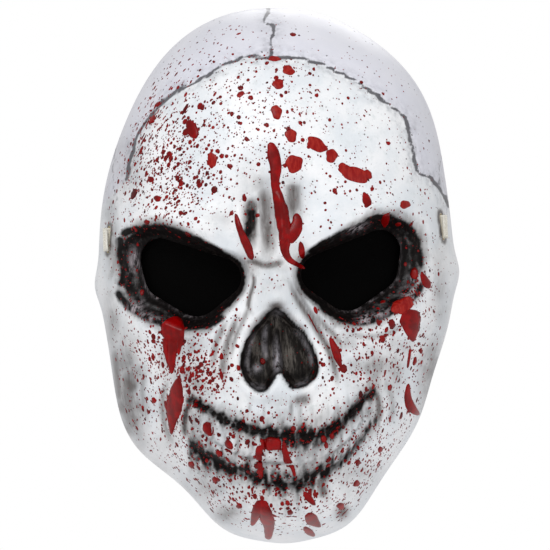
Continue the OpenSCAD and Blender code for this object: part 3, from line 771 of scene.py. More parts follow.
# Splashes: x, z, half width, half height and turn
SPLASHES = {
    "thin": ((11, 57, 4.7, 4.3, 0), (10, 71.6, 3.1, 3.4, 0), (3, 84, 2.7, 3.8, 0), (4.4, 98.6, 3.1, 2.6, 20), (10, 105.6, 3.4, 2.4, -20),
             (3, 112, 3.2, 1.5, 0), (30.4, 60.4, 3.2, 3.4, 0), (23, 66.4, 6.0, 3.2, -30), (42, 50.4, 8.6, 3.6, -16), (36.6, 54, 3.4, 2.2, -30),
             (48.4, 50, 2.6, 2.4, 20), (67.4, 34, 3.0, 2.0, 10), (-31, 60.6, 2.3, 4.2, 8), (64, -18, 5.8, 4.2, 20)),
    "drops": ((-15.2, 40.4, 1.2, 2.0, 0), (47.5, 37, 2.3, 3.8, 8), (57, 26.4, 2.0, 3.8, -10), (50.6, 42.6, 1.0, 1.2, 0), (-28, 65, 1.2, 1.2, 0), (-26, 62.4, 1.3, 1.2, 0),
              (-22, 57, 1.5, 1.3, 0), (-53, 64.6, 1.6, 1.5, 0), (-38, 48, 1.6, 1.4, 0), (-60, 42, 1.9, 1.7, 0), (-63, 52, 1.6, 1.5, 0),
              (-30, -40.4, 1.0, 1.9, 0), (69.6, -47, 1.0, 2.4, -12), (73, -42, 1.1, 1.3, 0), (28.4, -120.4, 2.0, 1.9, 0),
              (37, -109, 1.8, 1.7, 0), (-66, 30, 1.5, 1.3, 0), (-48, 34, 1.3, 1.2, 0), (-70, -6, 1.2, 1.5, 0), (-10, 92, 1.3, 1.3, 0),
              (-20, 84, 1.1, 1.2, 0), (-35, 88, 1.0, 1.6, -30), (24, 92, 1.1, 1.0, 0), (60, 66, 1.2, 1.0, 0), (15, 78, 1.0, 1.1, 0),
              (-44, -64, 1.2, 1.9, 0), (-66, -62, 1.3, 1.6, 0), (-48, -96, 1.6, 2.0, 0), (-36, -104, 1.5, 1.7, 0), (50, -92, 1.4, 1.6, 0),
              (38, -98, 1.3, 1.9, 0), (22, -88, 1.2, 1.8, 0), (56, -60, 1.3, 1.6, 0), (-24, -118, 1.5, 1.6, 0), (2, -122, 1.4, 1.5, 0)),
}

# Clouds of fine spatter: middle x and z, spread x and z, how many, mean radius, stretch and its direction
CLOUDS = ((-38, 62, 26, 24, 620, 0.70, 1.3, 70), (-54, 60, 17, 18, 420, 0.90, 1.2, 75), (-62, 84, 15, 18, 330, 0.66, 2.6, 52),
          (-60, 42, 18, 15, 330, 0.76, 1.2, 80), (-8, 100, 28, 18, 240, 0.60, 1.5, 75), (2, 70, 20, 24, 220, 0.66, 1.2, 90),
          (34, 60, 28, 24, 220, 0.66, 1.3, 100), (40, 92, 24, 18, 70, 0.50, 1.4, 110), (-40, 116, 24, 14, 130, 0.55, 2.0, 60),
          (60, 34, 18, 16, 120, 0.66, 1.2, 90), (-78, 6, 8, 24, 150, 0.62, 1.3, 85), (-62, -38, 17, 14, 420, 0.76, 1.4, 85),
          (-62, -74, 15, 26, 400, 0.74, 1.5, 85), (-32, -36, 14, 18, 200, 0.66, 1.4, 85), (-44, -50, 11, 10, 330, 0.86, 1.2, 85),
          (0, 2, 18, 14, 80, 0.56, 1.3, 90), (34, -40, 15, 16, 260, 0.70, 1.4, 95), (62, -38, 17, 16, 360, 0.76, 1.5, 95),
          (60, -76, 16, 24, 380, 0.74, 1.4, 95), (-26, -86, 24, 12, 380, 0.80, 1.3, 90), (26, -84, 22, 12, 260, 0.70, 1.3, 90),
          (-26, -112, 24, 15, 520, 0.86, 1.3, 90), (20, -116, 22, 15, 420, 0.82, 1.3, 90), (48, -98, 14, 14, 220, 0.74, 1.3, 90),
          (76, 2, 8, 22, 90, 0.60, 1.3, 90), (70, -12, 9, 8, 110, 0.66, 1.5, 90), (0, -66, 40, 6, 120, 0.55, 1.3, 90),
          (-84, -60, 6, 34, 60, 0.52, 1.3, 90))


def make_blood(wet):
    pieces = []
    for name, runs in RUNS.items():
        bm = bmesh.new()
        for points in runs:
            drip(bm, points)
        pieces.append(finish_mesh("blood_run_" + name, bm, [wet]))
    for name, splashes in SPLASHES.items():
        bm = bmesh.new()
        for cx, cz, rx, rz, turn in splashes:
            blob(bm, cx, cz, rx, rz, turn, 0.4 if name == "drops" else 0.3)
        pieces.append(finish_mesh("blood_splash_" + name, bm, [wet]))
    for piece in pieces:
        bm = bmesh.new()
        bm.from_mesh(piece.data)
        if sum(f.normal.y for f in bm.faces) > 0:
            bmesh.ops.reverse_faces(bm, faces=bm.faces[:])
        bm.to_mesh(piece.data)
        bm.free()
        put(piece.data, "thin", np.full(len(piece.data.vertices), 1.0 if piece.name.endswith("thin") else 0.0))
        thicken(piece, 0.6)
    return pieces + [make_spatter(wet)]


def make_spatter(wet):
    """Fine drops, each a low seven-sided cone, thrown in clouds."""
    chance = np.random.RandomState(7)
    bm, drops = bmesh.new(), 0
    for cx, cz, sx, sz, count, size, stretch, way in CLOUDS:
        x, z = chance.normal(cx, sx * 0.8, count), chance.normal(cz, sz * 0.8, count)
        r = size * np.exp(chance.normal(-0.46, 0.52, count))
        long, turns = 1 + (stretch - 1) * chance.uniform(0, 1.2, count), chance.normal(way, 16, count)
        kept = (share(x, z) < 0.965) & (eye_out(x, z) > 1.5)
        at, normal = front(x[kept], z[kept], 0.0)
        cloud = bmesh.new()
        for radius, stretched_by, heading, p, n in zip(r[kept], long[kept], turns[kept], at * MM, normal):
            turn = Vector((0, 0, 1)).rotation_difference(Vector(n)).to_matrix()
            heading = math.radians(heading)
            towards = turn.inverted() @ Vector((math.cos(heading), 0, math.sin(heading)))
            spin = Matrix.Rotation(math.atan2(towards.y, towards.x), 3, "Z")
            scale = Matrix.Diagonal((radius * stretched_by * MM, radius * MM, 0.32 * MM))
            bmesh.ops.create_cone(cloud, cap_ends=True, segments=7, radius1=1.0, radius2=0.55, depth=1.0,
                                  matrix=Matrix.Translation(Vector(p)) @ (turn @ spin @ scale).to_4x4())
        part = bpy.data.meshes.new("cloud")
        cloud.to_mesh(part)
        cloud.free()
        bm.from_mesh(part)
        bpy.data.meshes.remove(part)
        drops += int(kept.sum())
    spatter = finish_mesh("blood_spatter", bm, [wet])
    put(spatter.data, "thin", chance.uniform(0, 0.4, drops).repeat(14))
    put(spatter.data, "old", np.clip(chance.normal(0.15, 0.35, drops), 0, 0.85).repeat(14))
    return spatter


# ---------------------------------------------------------------- eyes, patches, band

MESH_TURN = math.radians(12)


def mesh_point(side, rho, angle):
    """Face coordinates of a point of an eye panel, an upright oval turned with the eye."""
    a, b = rho * np.cos(angle) * 32.0, rho * np.sin(angle) * 26.5
    x = EYE_GAP / 2 + EYE_W / 2 + a * math.cos(MESH_TURN) - b * math.sin(MESH_TURN)
    return side * x + EYE_SHIFT, EYE_RISE + a * math.sin(MESH_TURN) + b * math.cos(MESH_TURN)


def make_eye_panel(side, name, cloth):
    bm = bmesh.new()
    verts, u, v = grid(bm, 44, 38)
    rho, angle = disc(u, v)
    x, z = mesh_point(side, rho, angle)
    wall_at, way = inside_of(x, z, np.zeros_like(x))
    place(verts, wall_at - way * 1.1)
    if side < 0:
        bmesh.ops.reverse_faces(bm, faces=bm.faces[:])
    panel = finish_mesh("eye_panel_" + name, bm, [cloth])
    return thicken(panel, 0.5)


def make_glue(side, name, glue):
    """Bead of glue that runs round the edge of an eye panel on the inside of the wall."""
    bm = bmesh.new()
    ring = bmesh.ops.create_circle(bm, segments=8, radius=0.5, matrix=Matrix.Translation((4, 0, 0)) @ Matrix.Rotation(math.pi / 2, 4, "X"))
    edges = list({e for v in ring["verts"] for e in v.link_edges})
    bmesh.ops.spin(bm, geom=ring["verts"] + edges, axis=(0, 0, 1), cent=(0, 0, 0), angle=2 * math.pi, steps=120, use_merge=True)
    bmesh.ops.recalc_face_normals(bm, faces=bm.faces[:])
    co = np.array([w.co for w in bm.verts])
    angle, out, up = np.arctan2(co[:, 1], co[:, 0]), np.hypot(co[:, 0], co[:, 1]) - 4, co[:, 2]
    swell = 1.0 + 0.25 * np.sin(angle * 9 + side) + 0.15 * np.sin(angle * 23)
    x, z = mesh_point(side, 0.985 + out * swell * 0.08, angle)
    wall_at, way = inside_of(x, z, np.zeros_like(x))
    place(bm.verts[:], wall_at - way * (0.9 - up * 2.5 * swell)[:, None])
    bead = finish_mesh("eye_glue_" + name, bm, [glue])
    bm = bmesh.new()
    bm.from_mesh(bead.data)
    bmesh.ops.recalc_face_normals(bm, faces=bm.faces[:])
    bm.to_mesh(bead.data)
    bm.free()
    return bead


def make_patch(side, name, gauze):
    """Cloth patch that follows the inside of the wall round a slot, with a frayed edge."""
    half_y, half_z = SLOT_W / 2 + 8, SLOT_H / 2 + 8
    bm = bmesh.new()
    verts, u, v = grid(bm, 28, 42)
    fray = 1 + 0.03 * lattice(u * 30 + v * 47, v * 20, 1.0, 61) * (np.maximum(np.abs(u), np.abs(v)) > 0.99)
    y, z = half_y * u * fray, -MID_Z + half_z * v * fray
    above = np.arcsin(z / outline_r(np.arctan2(z, np.full_like(z, side * HALF_W))))
    angle = above if side > 0 else math.pi - above
    reach = outline_r(angle) * (1 - ((EDGE_Y - y) / DEPTH) ** 2) ** (1 / dome_power(angle))
    x, z = reach * np.cos(angle), reach * np.sin(angle)
    place(verts, skin(x, z, np.zeros_like(x), np.full_like(x, WALL + 0.35), fine=False)[0])
    gone = [f for f in bm.faces if in_slot(f.calc_center_median() / MM, 0.4)]
    bmesh.ops.delete(bm, geom=gone, context="FACES")
    if side > 0:
        bmesh.ops.reverse_faces(bm, faces=bm.faces[:])
    patch = finish_mesh("slot_gauze_" + name, bm, [gauze])
    put(patch.data, "weave_u", places(patch.data)[:, 1])
    put(patch.data, "weave_v", places(patch.data)[:, 2])
    return thicken(patch, 0.6, offset=1 if side > 0 else 1)


def in_slot(p, play):
    back = p.y / math.cos(SLOT_LEAN)
    return math.hypot(back, max(0, abs(p.z) - (SLOT_H - SLOT_W) / 2)) < SLOT_W / 2 + play


def band_path():
    """Middle line of the band from the left fold, through the slot, round the head and out again."""
    fold = [(1.25, -2.7), (1.45, -1.2), (1.5, 0.4), (1.5, 1.6), (1.3, 2.35), (0.85, 2.4), (0.62, 1.7), (0.58, 0.9), (0.3, 0.25),
            (-0.8, 0.05), (-2.6, 0), (-4.4, 0.15), (-5.6, 1.0), (-6.3, 2.6), (-6.6, 5.0)]
    side = [at_slot(1, out, back, 0)[:2] for out, back in fold]
    start = np.array([side[-1][0], side[-1][1] - BAND_RUN])
    first = math.atan2(start[1], start[0]) + math.acos(HEAD_R / np.linalg.norm(start))
    arc = [(HEAD_R * math.cos(a), BAND_RUN + HEAD_R * math.sin(a)) for a in np.linspace(first, math.pi / 2, 16)]
    half = side + [tuple((1 - k) * np.array(side[-1]) + k * np.array(arc[0])) for k in (0.35, 0.7)] + arc
    whole = half + [(-px, py) for px, py in half[-2::-1]]
    line = curve(whole, 8)
    run = np.concatenate([[0], np.cumsum(np.hypot(*np.diff(line, axis=0).T))])
    return line, run


def make_band(elastic):
    line, run = band_path()
    ribs, steps = 24, 440
    bm = bmesh.new()
    verts, u, v = grid(bm, ribs, steps)
    t = (v + 1) / 2 * run[-1]
    px, py = np.interp(t, run, line[:, 0]), np.interp(t, run, line[:, 1])
    tx, ty = (np.interp(t, run, np.gradient(line[:, k], run)) for k in range(2))
    rib = 0.10 * np.cos(u * math.pi * 8) + 0.03 * np.cos(t * 2 * math.pi / 1.6)
    slack = 0.35 * lattice(t, t * 0, 30.0, 71)
    pinch = 1 - 0.12 * (1 - ease(0, 5, np.minimum(t, run[-1] - t)))
    height = pinch * u * (BAND_W / 2 + 0.08 * np.cos(t * 2 * math.pi / 1.6)) + slack * ease(20, 40, np.minimum(t, run[-1] - t))
    place(verts, np.stack([px + ty * rib, py - tx * rib, height], -1))
    uv = bm.loops.layers.uv.new("cloth")
    for face in bm.faces:
        for loop in face.loops:
            k = loop.vert.index
            loop[uv].uv = (t[k] / 100, u[k] * BAND_W / 200 + 0.5)
    bmesh.ops.recalc_face_normals(bm, faces=bm.faces[:])
    return thicken(finish_mesh("elastic_band", bm, [elastic]), BAND_T - 0.35, offset=0)


def make_stitches(side, name, thread):
    """Bar tack through the folded end: slanting threads, each rounded where it dives in."""
    bm = bmesh.new()
    for k in range(9):
        up = BAND_W * ((k + 0.5) / 9 - 0.5) * 0.86
        made = bmesh.ops.create_uvsphere(bm, u_segments=10, v_segments=8, radius=1.0)["verts"]
        bmesh.ops.scale(bm, verts=made, vec=(0.26, 1.7, 0.26))
        for w in made:
            back = w.co.y
            lift = 2.0 - 0.3 * (back / 2.0) ** 4
            w.co = Vector(at_slot(side, lift + w.co.x, back - 0.2, up + w.co.z + 0.16 * back * (-1) ** k)) * MM
    bmesh.ops.recalc_face_normals(bm, faces=bm.faces[:])
    return finish_mesh("bar_tack_" + name, bm, [thread])


# ---------------------------------------------------------------- node tools

def srgb(r, g, b):
    return tuple((c / 255) ** 2.2 for c in (r, g, b)) + (1.0,)


def wire(tree, socket, value):
    if isinstance(value, bpy.types.NodeSocket):
        tree.links.new(value, socket)
    else:
        socket.default_value = value


def node(tree, kind, sockets=(), **settings):
    made = tree.nodes.new("ShaderNode" + kind)
    for key, value in settings.items():
        setattr(made, key, value)
    for key, value in dict(sockets).items():
        wire(tree, made.inputs[key], value)
    return made


def maths(tree, operation, a, b=0.5, clamp=False):
    return node(tree, "Math", {0: a, 1: b}, operation=operation, use_clamp=clamp).outputs[0]


def blend(tree, factor, a, b, mode="MIX"):
    made = node(tree, "Mix", {0: factor, 6: a, 7: b}, data_type="RGBA", blend_type=mode)
    return made.outputs[2]


def step(tree, value, low, high):
    """Smooth step of a value between two levels."""
    made = node(tree, "MapRange", {"Value": value, "From Min": low, "From Max": high}, interpolation_type="SMOOTHSTEP")
    return made.outputs[0]


def noise(tree, where, scale, detail=3.0, roughness=0.55):
    made = node(tree, "TexNoise", {"Vector": where, "Scale": scale, "Detail": detail, "Roughness": roughness})
    return made.outputs["Fac"]


def stretched(tree, where, scale, turn=(0, 0, 0)):
    made = node(tree, "Mapping", {"Vector": where, "Scale": scale, "Rotation": turn})
    return made.outputs["Vector"]


def stored(tree, name):
    return node(tree, "Attribute", attribute_name=name).outputs["Fac"]


def place_of(tree):
    return node(tree, "TexCoord").outputs["Object"]


def group(name, inputs, outputs):
    """An empty node group with named float or vector sockets, and its two end nodes."""
    made = bpy.data.node_groups.new(name, "ShaderNodeTree")
    for title, kind, value in inputs:
        socket = made.interface.new_socket(title, in_out="INPUT", socket_type=kind)
        if kind == "NodeSocketFloat":
            socket.default_value = value
    for title, kind in outputs:
        made.interface.new_socket(title, in_out="OUTPUT", socket_type=kind)
    return made, made.nodes.new("NodeGroupInput").outputs, made.nodes.new("NodeGroupOutput").inputs


def use(tree, made, sockets=()):
    placed = node(tree, "Group", node_tree=made)
    for key, value in dict(sockets).items():
        wire(tree, placed.inputs[key], value)
    return placed.outputs


def grain_group():
    """Skin of cast or brushed latex: pores, soft dents and the height of both."""
    made, given, out = group("latex_grain", [("Place", "NodeSocketVector", None), ("Pore Scale", "NodeSocketFloat", 900.0),
                                             ("Dent Scale", "NodeSocketFloat", 160.0), ("Dent Share", "NodeSocketFloat", 0.6)],
                             [("Height", "NodeSocketFloat"), ("Shade", "NodeSocketFloat")])
    pores = noise(made, given["Place"], given["Pore Scale"], 2.0)
    dents = noise(made, given["Place"], given["Dent Scale"], 4.0)
    share_of = maths(made, "MULTIPLY", dents, given["Dent Share"])
    made.links.new(maths(made, "ADD", pores, share_of), out["Height"])
    made.links.new(dents, out["Shade"])
    return made


def specks_group():
    """Scattered dots of uneven size: 1 in a dot."""
    made, given, out = group("specks", [("Place", "NodeSocketVector", None), ("Scale", "NodeSocketFloat", 300.0),
                                        ("Size", "NodeSocketFloat", 0.16), ("Share", "NodeSocketFloat", 0.4)],
                             [("Dots", "NodeSocketFloat")])
    cells = node(made, "TexVoronoi", {"Vector": given["Place"], "Scale": given["Scale"], "Randomness": 1.0})
    luck = node(made, "SeparateColor", {"Color": cells.outputs["Color"]}).outputs["Red"]
    size = maths(made, "MULTIPLY", given["Size"], luck)
    inside = maths(made, "LESS_THAN", cells.outputs["Distance"], size)
    chosen = maths(made, "LESS_THAN", node(made, "SeparateColor", {"Color": cells.outputs["Color"]}).outputs["Green"], given["Share"])
    made.links.new(maths(made, "MULTIPLY", inside, chosen), out["Dots"])
    return made


def weave_group():
    """Plain weave from two crossing threads: height and a gap mask."""
    made, given, out = group("weave", [("Place", "NodeSocketVector", None), ("Across", "NodeSocketFloat", 1000.0),
                                       ("Along", "NodeSocketFloat", 1000.0)],
                             [("Height", "NodeSocketFloat"), ("Gaps", "NodeSocketFloat")])
    parts = node(made, "SeparateXYZ", {"Vector": given["Place"]}).outputs
    a = maths(made, "SINE", maths(made, "MULTIPLY", parts["X"], given["Across"]), 0)
    b = maths(made, "SINE", maths(made, "MULTIPLY", parts["Y"], given["Along"]), 0)
    both = maths(made, "MULTIPLY", a, b)
    high = maths(made, "ADD", maths(made, "ABSOLUTE", a, 0), maths(made, "ABSOLUTE", b, 0))
    made.links.new(maths(made, "ADD", maths(made, "MULTIPLY", high, 0.4), maths(made, "MULTIPLY", both, 0.2)), out["Height"])
    made.links.new(step(made, high, 0.65, 0.2), out["Gaps"])
    return made


def material(name, build, **constants):
    """A material: build returns what is linked to the surface shader, constants sit on its sockets."""
    made = bpy.data.materials.new(name)
    made.use_nodes = True
    tree = made.node_tree
    shader = tree.nodes["Principled BSDF"]
    for key, value in constants.items():
        shader.inputs[key.replace("_", " ")].default_value = value
    for key, value in build(tree).items():
        tree.links.new(value, shader.inputs[key])
    return made


def bump(tree, height, distance, strength=1.0):
    return node(tree, "Bump", {"Height": height, "Distance": distance, "Strength": strength}).outputs["Normal"]


# ---------------------------------------------------------------- finishes

GRAIN, SPECKS, WEAVE = grain_group(), specks_group(), weave_group()


def painted_latex(tree):
    where = place_of(tree)
    grain = use(tree, GRAIN, {"Place": where, "Pore Scale": 850.0, "Dent Scale": 140.0, "Dent Share": 0.8})
    cloud = noise(tree, where, 42.0, 5.0, 0.6)
    fine = noise(tree, where, 260.0, 4.0, 0.65)
    brushed = noise(tree, stretched(tree, where, (420, 420, 70)), 1.0, 4.0, 0.7)
    white = blend(tree, step(tree, cloud, 0.36, 0.66), srgb(240, 241, 243), srgb(222, 227, 232))
    white = blend(tree, maths(tree, "MULTIPLY", step(tree, fine, 0.52, 0.72), 0.5), white, srgb(206, 213, 214))
    lilac = blend(tree, step(tree, cloud, 0.3, 0.7), srgb(226, 226, 235), srgb(216, 217, 228))
    base = blend(tree, stored(tree, "crown"), white, lilac)
    # Painted shade towards the outline of the face.
    base = blend(tree, maths(tree, "MULTIPLY", stored(tree, "edge"), 0.34), base, srgb(186, 186, 188))
    # Painted shade beside the suture grooves, broken up by fine noise.
    suture_shade = maths(tree, "MULTIPLY", stored(tree, "suture_shade"), step(tree, fine, 0.3, 0.75))
    base = blend(tree, maths(tree, "MULTIPLY", suture_shade, 0.6), base, srgb(140, 140, 149))
    # Grey layer: airbrushed grey together with painted shade in hollows, creases and gaps, streaked by the brush.
    streaky = maths(tree, "ADD", maths(tree, "MULTIPLY", brushed, 1.2), 0.4)
    clear = maths(tree, "SUBTRACT", 1.0, maths(tree, "MULTIPLY", stored(tree, "airbrush_and_shade"), streaky, clamp=True))
    grey_and_shade = maths(tree, "SUBTRACT", 1.0, maths(tree, "POWER", clear, 1.7))
    base = blend(tree, grey_and_shade, base, srgb(88, 82, 80))
    line = maths(tree, "ADD", stored(tree, "suture"), maths(tree, "MULTIPLY", maths(tree, "SUBTRACT", fine, 0.5), 0.9))
    base = blend(tree, maths(tree, "MULTIPLY", step(tree, line, 0.36, 0.74), 0.88), base, srgb(58, 56, 62))
    soot = maths(tree, "ADD", stored(tree, "soot"), maths(tree, "MULTIPLY", maths(tree, "SUBTRACT", fine, 0.5), 0.5))
    soot = maths(tree, "ADD", soot, maths(tree, "MULTIPLY", maths(tree, "SUBTRACT", brushed, 0.5), 0.35))
    soot = step(tree, soot, 0.16, 0.84)
    sooty = blend(tree, step(tree, brushed, 0.5, 0.8), srgb(18, 15, 15), srgb(52, 46, 44))
    base = blend(tree, soot, base, sooty)
    # Dry-brushed white in the rubs, and the painted highlight along the eye edges, streaked by the brush.
    rubs_and_highlight = maths(tree, "MULTIPLY", stored(tree, "drybrush_and_highlight"), step(tree, brushed, 0.42, 0.62))
    base = blend(tree, rubs_and_highlight, base, srgb(190, 180, 186))
    worn = step(tree, maths(tree, "ADD", brushed, maths(tree, "MULTIPLY", fine, 0.3)), 0.56, 0.82)
    pit = maths(tree, "MULTIPLY", stored(tree, "pit"), maths(tree, "ADD", maths(tree, "MULTIPLY", worn, 0.6), 0.4))
    base = blend(tree, pit, base, blend(tree, worn, srgb(50, 46, 43), srgb(98, 93, 88)))
    base = blend(tree, maths(tree, "MULTIPLY", stored(tree, "septum"), step(tree, fine, 0.3, 0.6)), base, srgb(186, 182, 190))
    for scale, size, part, colour in ((330.0, 0.20, 0.30, srgb(40, 32, 34)), (520.0, 0.24, 0.25, srgb(120, 28, 28)), (210.0, 0.10, 0.3, srgb(110, 20, 22))):
        dots = use(tree, SPECKS, {"Place": where, "Scale": scale, "Size": size, "Share": part})["Dots"]
        base = blend(tree, maths(tree, "MULTIPLY", dots, 0.75), base, colour)
    shine = maths(tree, "ADD", maths(tree, "MULTIPLY", grain["Shade"], 0.22), maths(tree, "MULTIPLY", soot, 0.14))
    glint = maths(tree, "SUBTRACT", 0.42, maths(tree, "MULTIPLY", soot, 0.34))
    return {"Base Color": base, "Roughness": maths(tree, "ADD", shine, 0.32), "Specular IOR Level": glint,
            "Normal": bump(tree, grain["Height"], 0.00012, 0.55)}


def raw_latex(tree):
    where = place_of(tree)
    grain = use(tree, GRAIN, {"Place": where, "Pore Scale": 420.0, "Dent Scale": 90.0, "Dent Share": 1.6})
    brushed = noise(tree, stretched(tree, where, (260, 260, 40), (0.3, 0.2, 0.4)), 1.0, 4.0)
    blotch = noise(tree, where, 26.0, 5.0, 0.6)
    base = blend(tree, step(tree, blotch, 0.35, 0.68), srgb(232, 218, 184), srgb(208, 186, 140))
    base = blend(tree, maths(tree, "MULTIPLY", step(tree, brushed, 0.5, 0.75), 0.35), base, srgb(242, 232, 206))
    dots = use(tree, SPECKS, {"Place": where, "Scale": 120.0, "Size": 0.14, "Share": 0.3})["Dots"]
    base = blend(tree, maths(tree, "MULTIPLY", dots, 0.4), base, srgb(170, 146, 104))
    height = maths(tree, "ADD", grain["Height"], maths(tree, "MULTIPLY", brushed, 0.8))
    return {"Base Color": base, "Roughness": maths(tree, "ADD", maths(tree, "MULTIPLY", blotch, 0.25), 0.40), "Normal": bump(tree, height, 0.0004, 0.6)}


def blood_paint(tree):
    where = place_of(tree)
    cloud = noise(tree, where, 190.0, 3.0)
    streaks = noise(tree, stretched(tree, where, (700, 700, 160)), 1.0, 3.0)
    thick = blend(tree, step(tree, cloud, 0.35, 0.7), srgb(104, 0, 4), srgb(140, 3, 8))
    thin = blend(tree, step(tree, streaks, 0.38, 0.66), srgb(132, 14, 14), srgb(154, 40, 32))
    base = blend(tree, stored(tree, "thin"), thick, thin)
    base = blend(tree, stored(tree, "old"), base, srgb(46, 10, 14))
    return {"Base Color": base, "Roughness": maths(tree, "ADD", maths(tree, "MULTIPLY", cloud, 0.2), 0.24),
            "Normal": bump(tree, streaks, 0.00008, 0.5)}


def black_mesh(tree):
    where = place_of(tree)
    flat = stretched(tree, where, (1, 1, 1), (math.pi / 2, 0, 0.785))
    woven = use(tree, WEAVE, {"Place": flat, "Across": 5200.0, "Along": 5200.0})
    # Pure black in the gaps of the weave: painted shade seen through the mesh.
    base = blend(tree, woven["Gaps"], srgb(6, 5, 5), srgb(0, 0, 0))
    lint = maths(tree, "MULTIPLY", noise(tree, where, 120.0, 4.0), 0.12)
    base = blend(tree, lint, base, srgb(12, 11, 11))
    return {"Base Color": base, "Roughness": maths(tree, "ADD", lint, 0.78), "Normal": bump(tree, woven["Height"], 0.00015, 0.8)}


def gauze_cloth(tree):
    where = place_of(tree)
    flat = stretched(tree, where, (1, 1, 1), (0, math.pi / 2, 0))
    woven = use(tree, WEAVE, {"Place": flat, "Across": 3400.0, "Along": 3400.0})
    stain = noise(tree, where, 150.0, 4.0)
    base = blend(tree, step(tree, stain, 0.35, 0.7), srgb(226, 212, 178), srgb(202, 182, 140))
    # Darker between the threads: painted shade in the gaps of the weave.
    base = blend(tree, woven["Gaps"], base, srgb(150, 130, 92))
    return {"Base Color": base, "Roughness": maths(tree, "ADD", maths(tree, "MULTIPLY", stain, 0.2), 0.6),
            "Normal": bump(tree, woven["Height"], 0.0003, 0.9)}


def elastic_cloth(tree):
    flat = node(tree, "UVMap", uv_map="cloth").outputs["UV"]
    woven = use(tree, WEAVE, {"Place": flat, "Across": 520.0, "Along": 785.0})
    fuzz = noise(tree, place_of(tree), 900.0, 3.0)
    stain = noise(tree, place_of(tree), 60.0, 3.0)
    base = blend(tree, step(tree, stain, 0.35, 0.7), srgb(236, 233, 222), srgb(222, 217, 202))
    # Darker between the threads: painted shade in the gaps of the weave.
    base = blend(tree, maths(tree, "MULTIPLY", woven["Gaps"], 0.6), base, srgb(176, 162, 134))
    base = blend(tree, maths(tree, "MULTIPLY", fuzz, 0.15), base, srgb(255, 250, 240))
    height = maths(tree, "ADD", woven["Height"], maths(tree, "MULTIPLY", fuzz, 0.3))
    return {"Base Color": base, "Roughness": maths(tree, "ADD", maths(tree, "MULTIPLY", fuzz, 0.15), 0.72), "Normal": bump(tree, height, 0.0002, 0.9)}


def sewing_thread(tree):
    where = place_of(tree)
    twist = noise(tree, stretched(tree, where, (900, 500, 3800), (0.5, 0, 0)), 1.0, 2.0)
    base = blend(tree, step(tree, twist, 0.4, 0.6), srgb(246, 243, 234), srgb(206, 198, 180))
    return {"Base Color": base, "Roughness": maths(tree, "ADD", maths(tree, "MULTIPLY", twist, 0.2), 0.5), "Normal": bump(tree, twist, 0.0001, 0.8)}


def dried_glue(tree):
    where = place_of(tree)
    cloud = noise(tree, where, 140.0, 3.0)
    base = blend(tree, step(tree, cloud, 0.35, 0.7), srgb(46, 38, 30), srgb(24, 20, 17))
    return {"Base Color": base, "Roughness": maths(tree, "ADD", maths(tree, "MULTIPLY", cloud, 0.25), 0.2), "Normal": bump(tree, cloud, 0.0003, 0.5)}


# ---------------------------------------------------------------- putting it together

paint = material("painted_latex", painted_latex, Coat_Weight=0.03, Coat_Roughness=0.25)
raw = material("raw_latex", raw_latex, Subsurface_Weight=0.05)
wet = material("blood_paint", blood_paint, Coat_Weight=0.05, Coat_Roughness=0.12, Specular_IOR_Level=0.14)
mesh_cloth = material("black_mesh", black_mesh, Specular_IOR_Level=0.05)
gauze = material("patch_cloth", gauze_cloth, Sheen_Weight=0.1)
elastic = material("elastic", elastic_cloth, Sheen_Weight=0.2)
thread = material("thread", sewing_thread, Sheen_Weight=0.15)
glue = material("glue", dried_glue, Coat_Weight=0.3)

shell = make_shell(paint, raw)
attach(shell, "mask")
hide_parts("face_shell")

for piece in make_blood(wet):
    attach(piece, "mask")

for side, name in ((1, "left"), (-1, "right")):
    panel = make_eye_panel(side, name, mesh_cloth)
    bead = make_glue(side, name, glue)
    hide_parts("eye_mesh_" + name)
    patch = make_patch(side, name, gauze)
    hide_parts("slot_patch_" + name)
    tack = make_stitches(side, name, thread)
    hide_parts("end_stitches_" + name)
    for piece in (panel, bead, patch, tack):
        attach(piece, "mask")

band = make_band(elastic)
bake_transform(band)
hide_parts("strap_band", "strap_end_left", "strap_end_right")


# ---------------------------------------------------------------- floor, light and camera

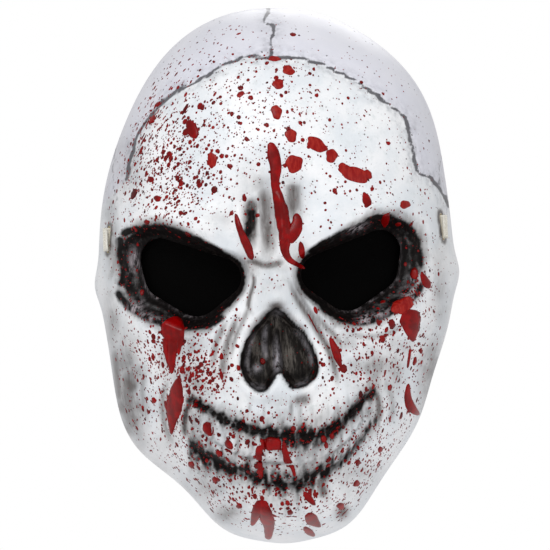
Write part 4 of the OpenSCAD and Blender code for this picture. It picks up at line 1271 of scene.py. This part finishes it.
def studio_floor():
    bm = bmesh.new()
    bmesh.ops.create_grid(bm, x_segments=2, y_segments=2, size=4.4)
    bmesh.ops.translate(bm, verts=bm.verts[:], vec=(0, 0, -0.34))
    floor = finish_mesh("studio_floor", bm, [material("floor_paint", lambda tree: {
        "Base Color": blend(tree, noise(tree, place_of(tree), 2.0), srgb(246, 246, 247), srgb(242, 242, 244))})])


def softbox(name, at, size, power, tint=(1, 1, 1)):
    lamp = bpy.data.lights.new(name, "AREA")
    lamp.shape, lamp.size, lamp.energy, lamp.color = "DISK", size, power, tint
    obj = bpy.data.objects.new(name, lamp)
    obj.location = at
    obj.rotation_euler = (-Vector(at)).to_track_quat("-Z", "Y").to_euler()
    obj.visible_camera = False
    bpy.context.scene.collection.objects.link(obj)


def studio_air(around, seen):
    world = bpy.data.worlds.new("studio")
    world.use_nodes = True
    tree = world.node_tree
    ray = node(tree, "LightPath").outputs["Is Camera Ray"]
    level_of = maths(tree, "ADD", maths(tree, "MULTIPLY", ray, seen - around), around)
    tree.links.new(level_of, tree.nodes["Background"].inputs["Strength"])
    tree.nodes["Background"].inputs["Color"].default_value = (1, 1, 1, 1)
    bpy.context.scene.world = world


def studio_camera():
    lens = bpy.data.cameras.new("camera")
    lens.lens, lens.sensor_width, lens.clip_end = 500, 36, 60
    camera = bpy.data.objects.new("camera", lens)
    camera.location = (-0.001, EDGE_Y * MM - 4.0, -0.0217)
    camera.rotation_euler = (Matrix.Rotation(math.radians(2.2), 4, "Y") @ Matrix.Rotation(math.pi / 2, 4, "X")).to_euler()
    bpy.context.scene.collection.objects.link(camera)
    bpy.context.scene.camera = camera


studio_floor()
softbox("key", (-0.6, -1.7, 1.7), 0.8, 18)
softbox("fill", (1.7, -1.7, 0.4), 1.4, 5)
softbox("low", (-0.6, -2.0, -0.25), 0.9, 4)
softbox("back", (0.3, 1.6, 1.2), 1.2, 10)
studio_air(0.68, 1.0)
studio_camera()
bpy.context.scene.view_settings.view_transform = "Standard"
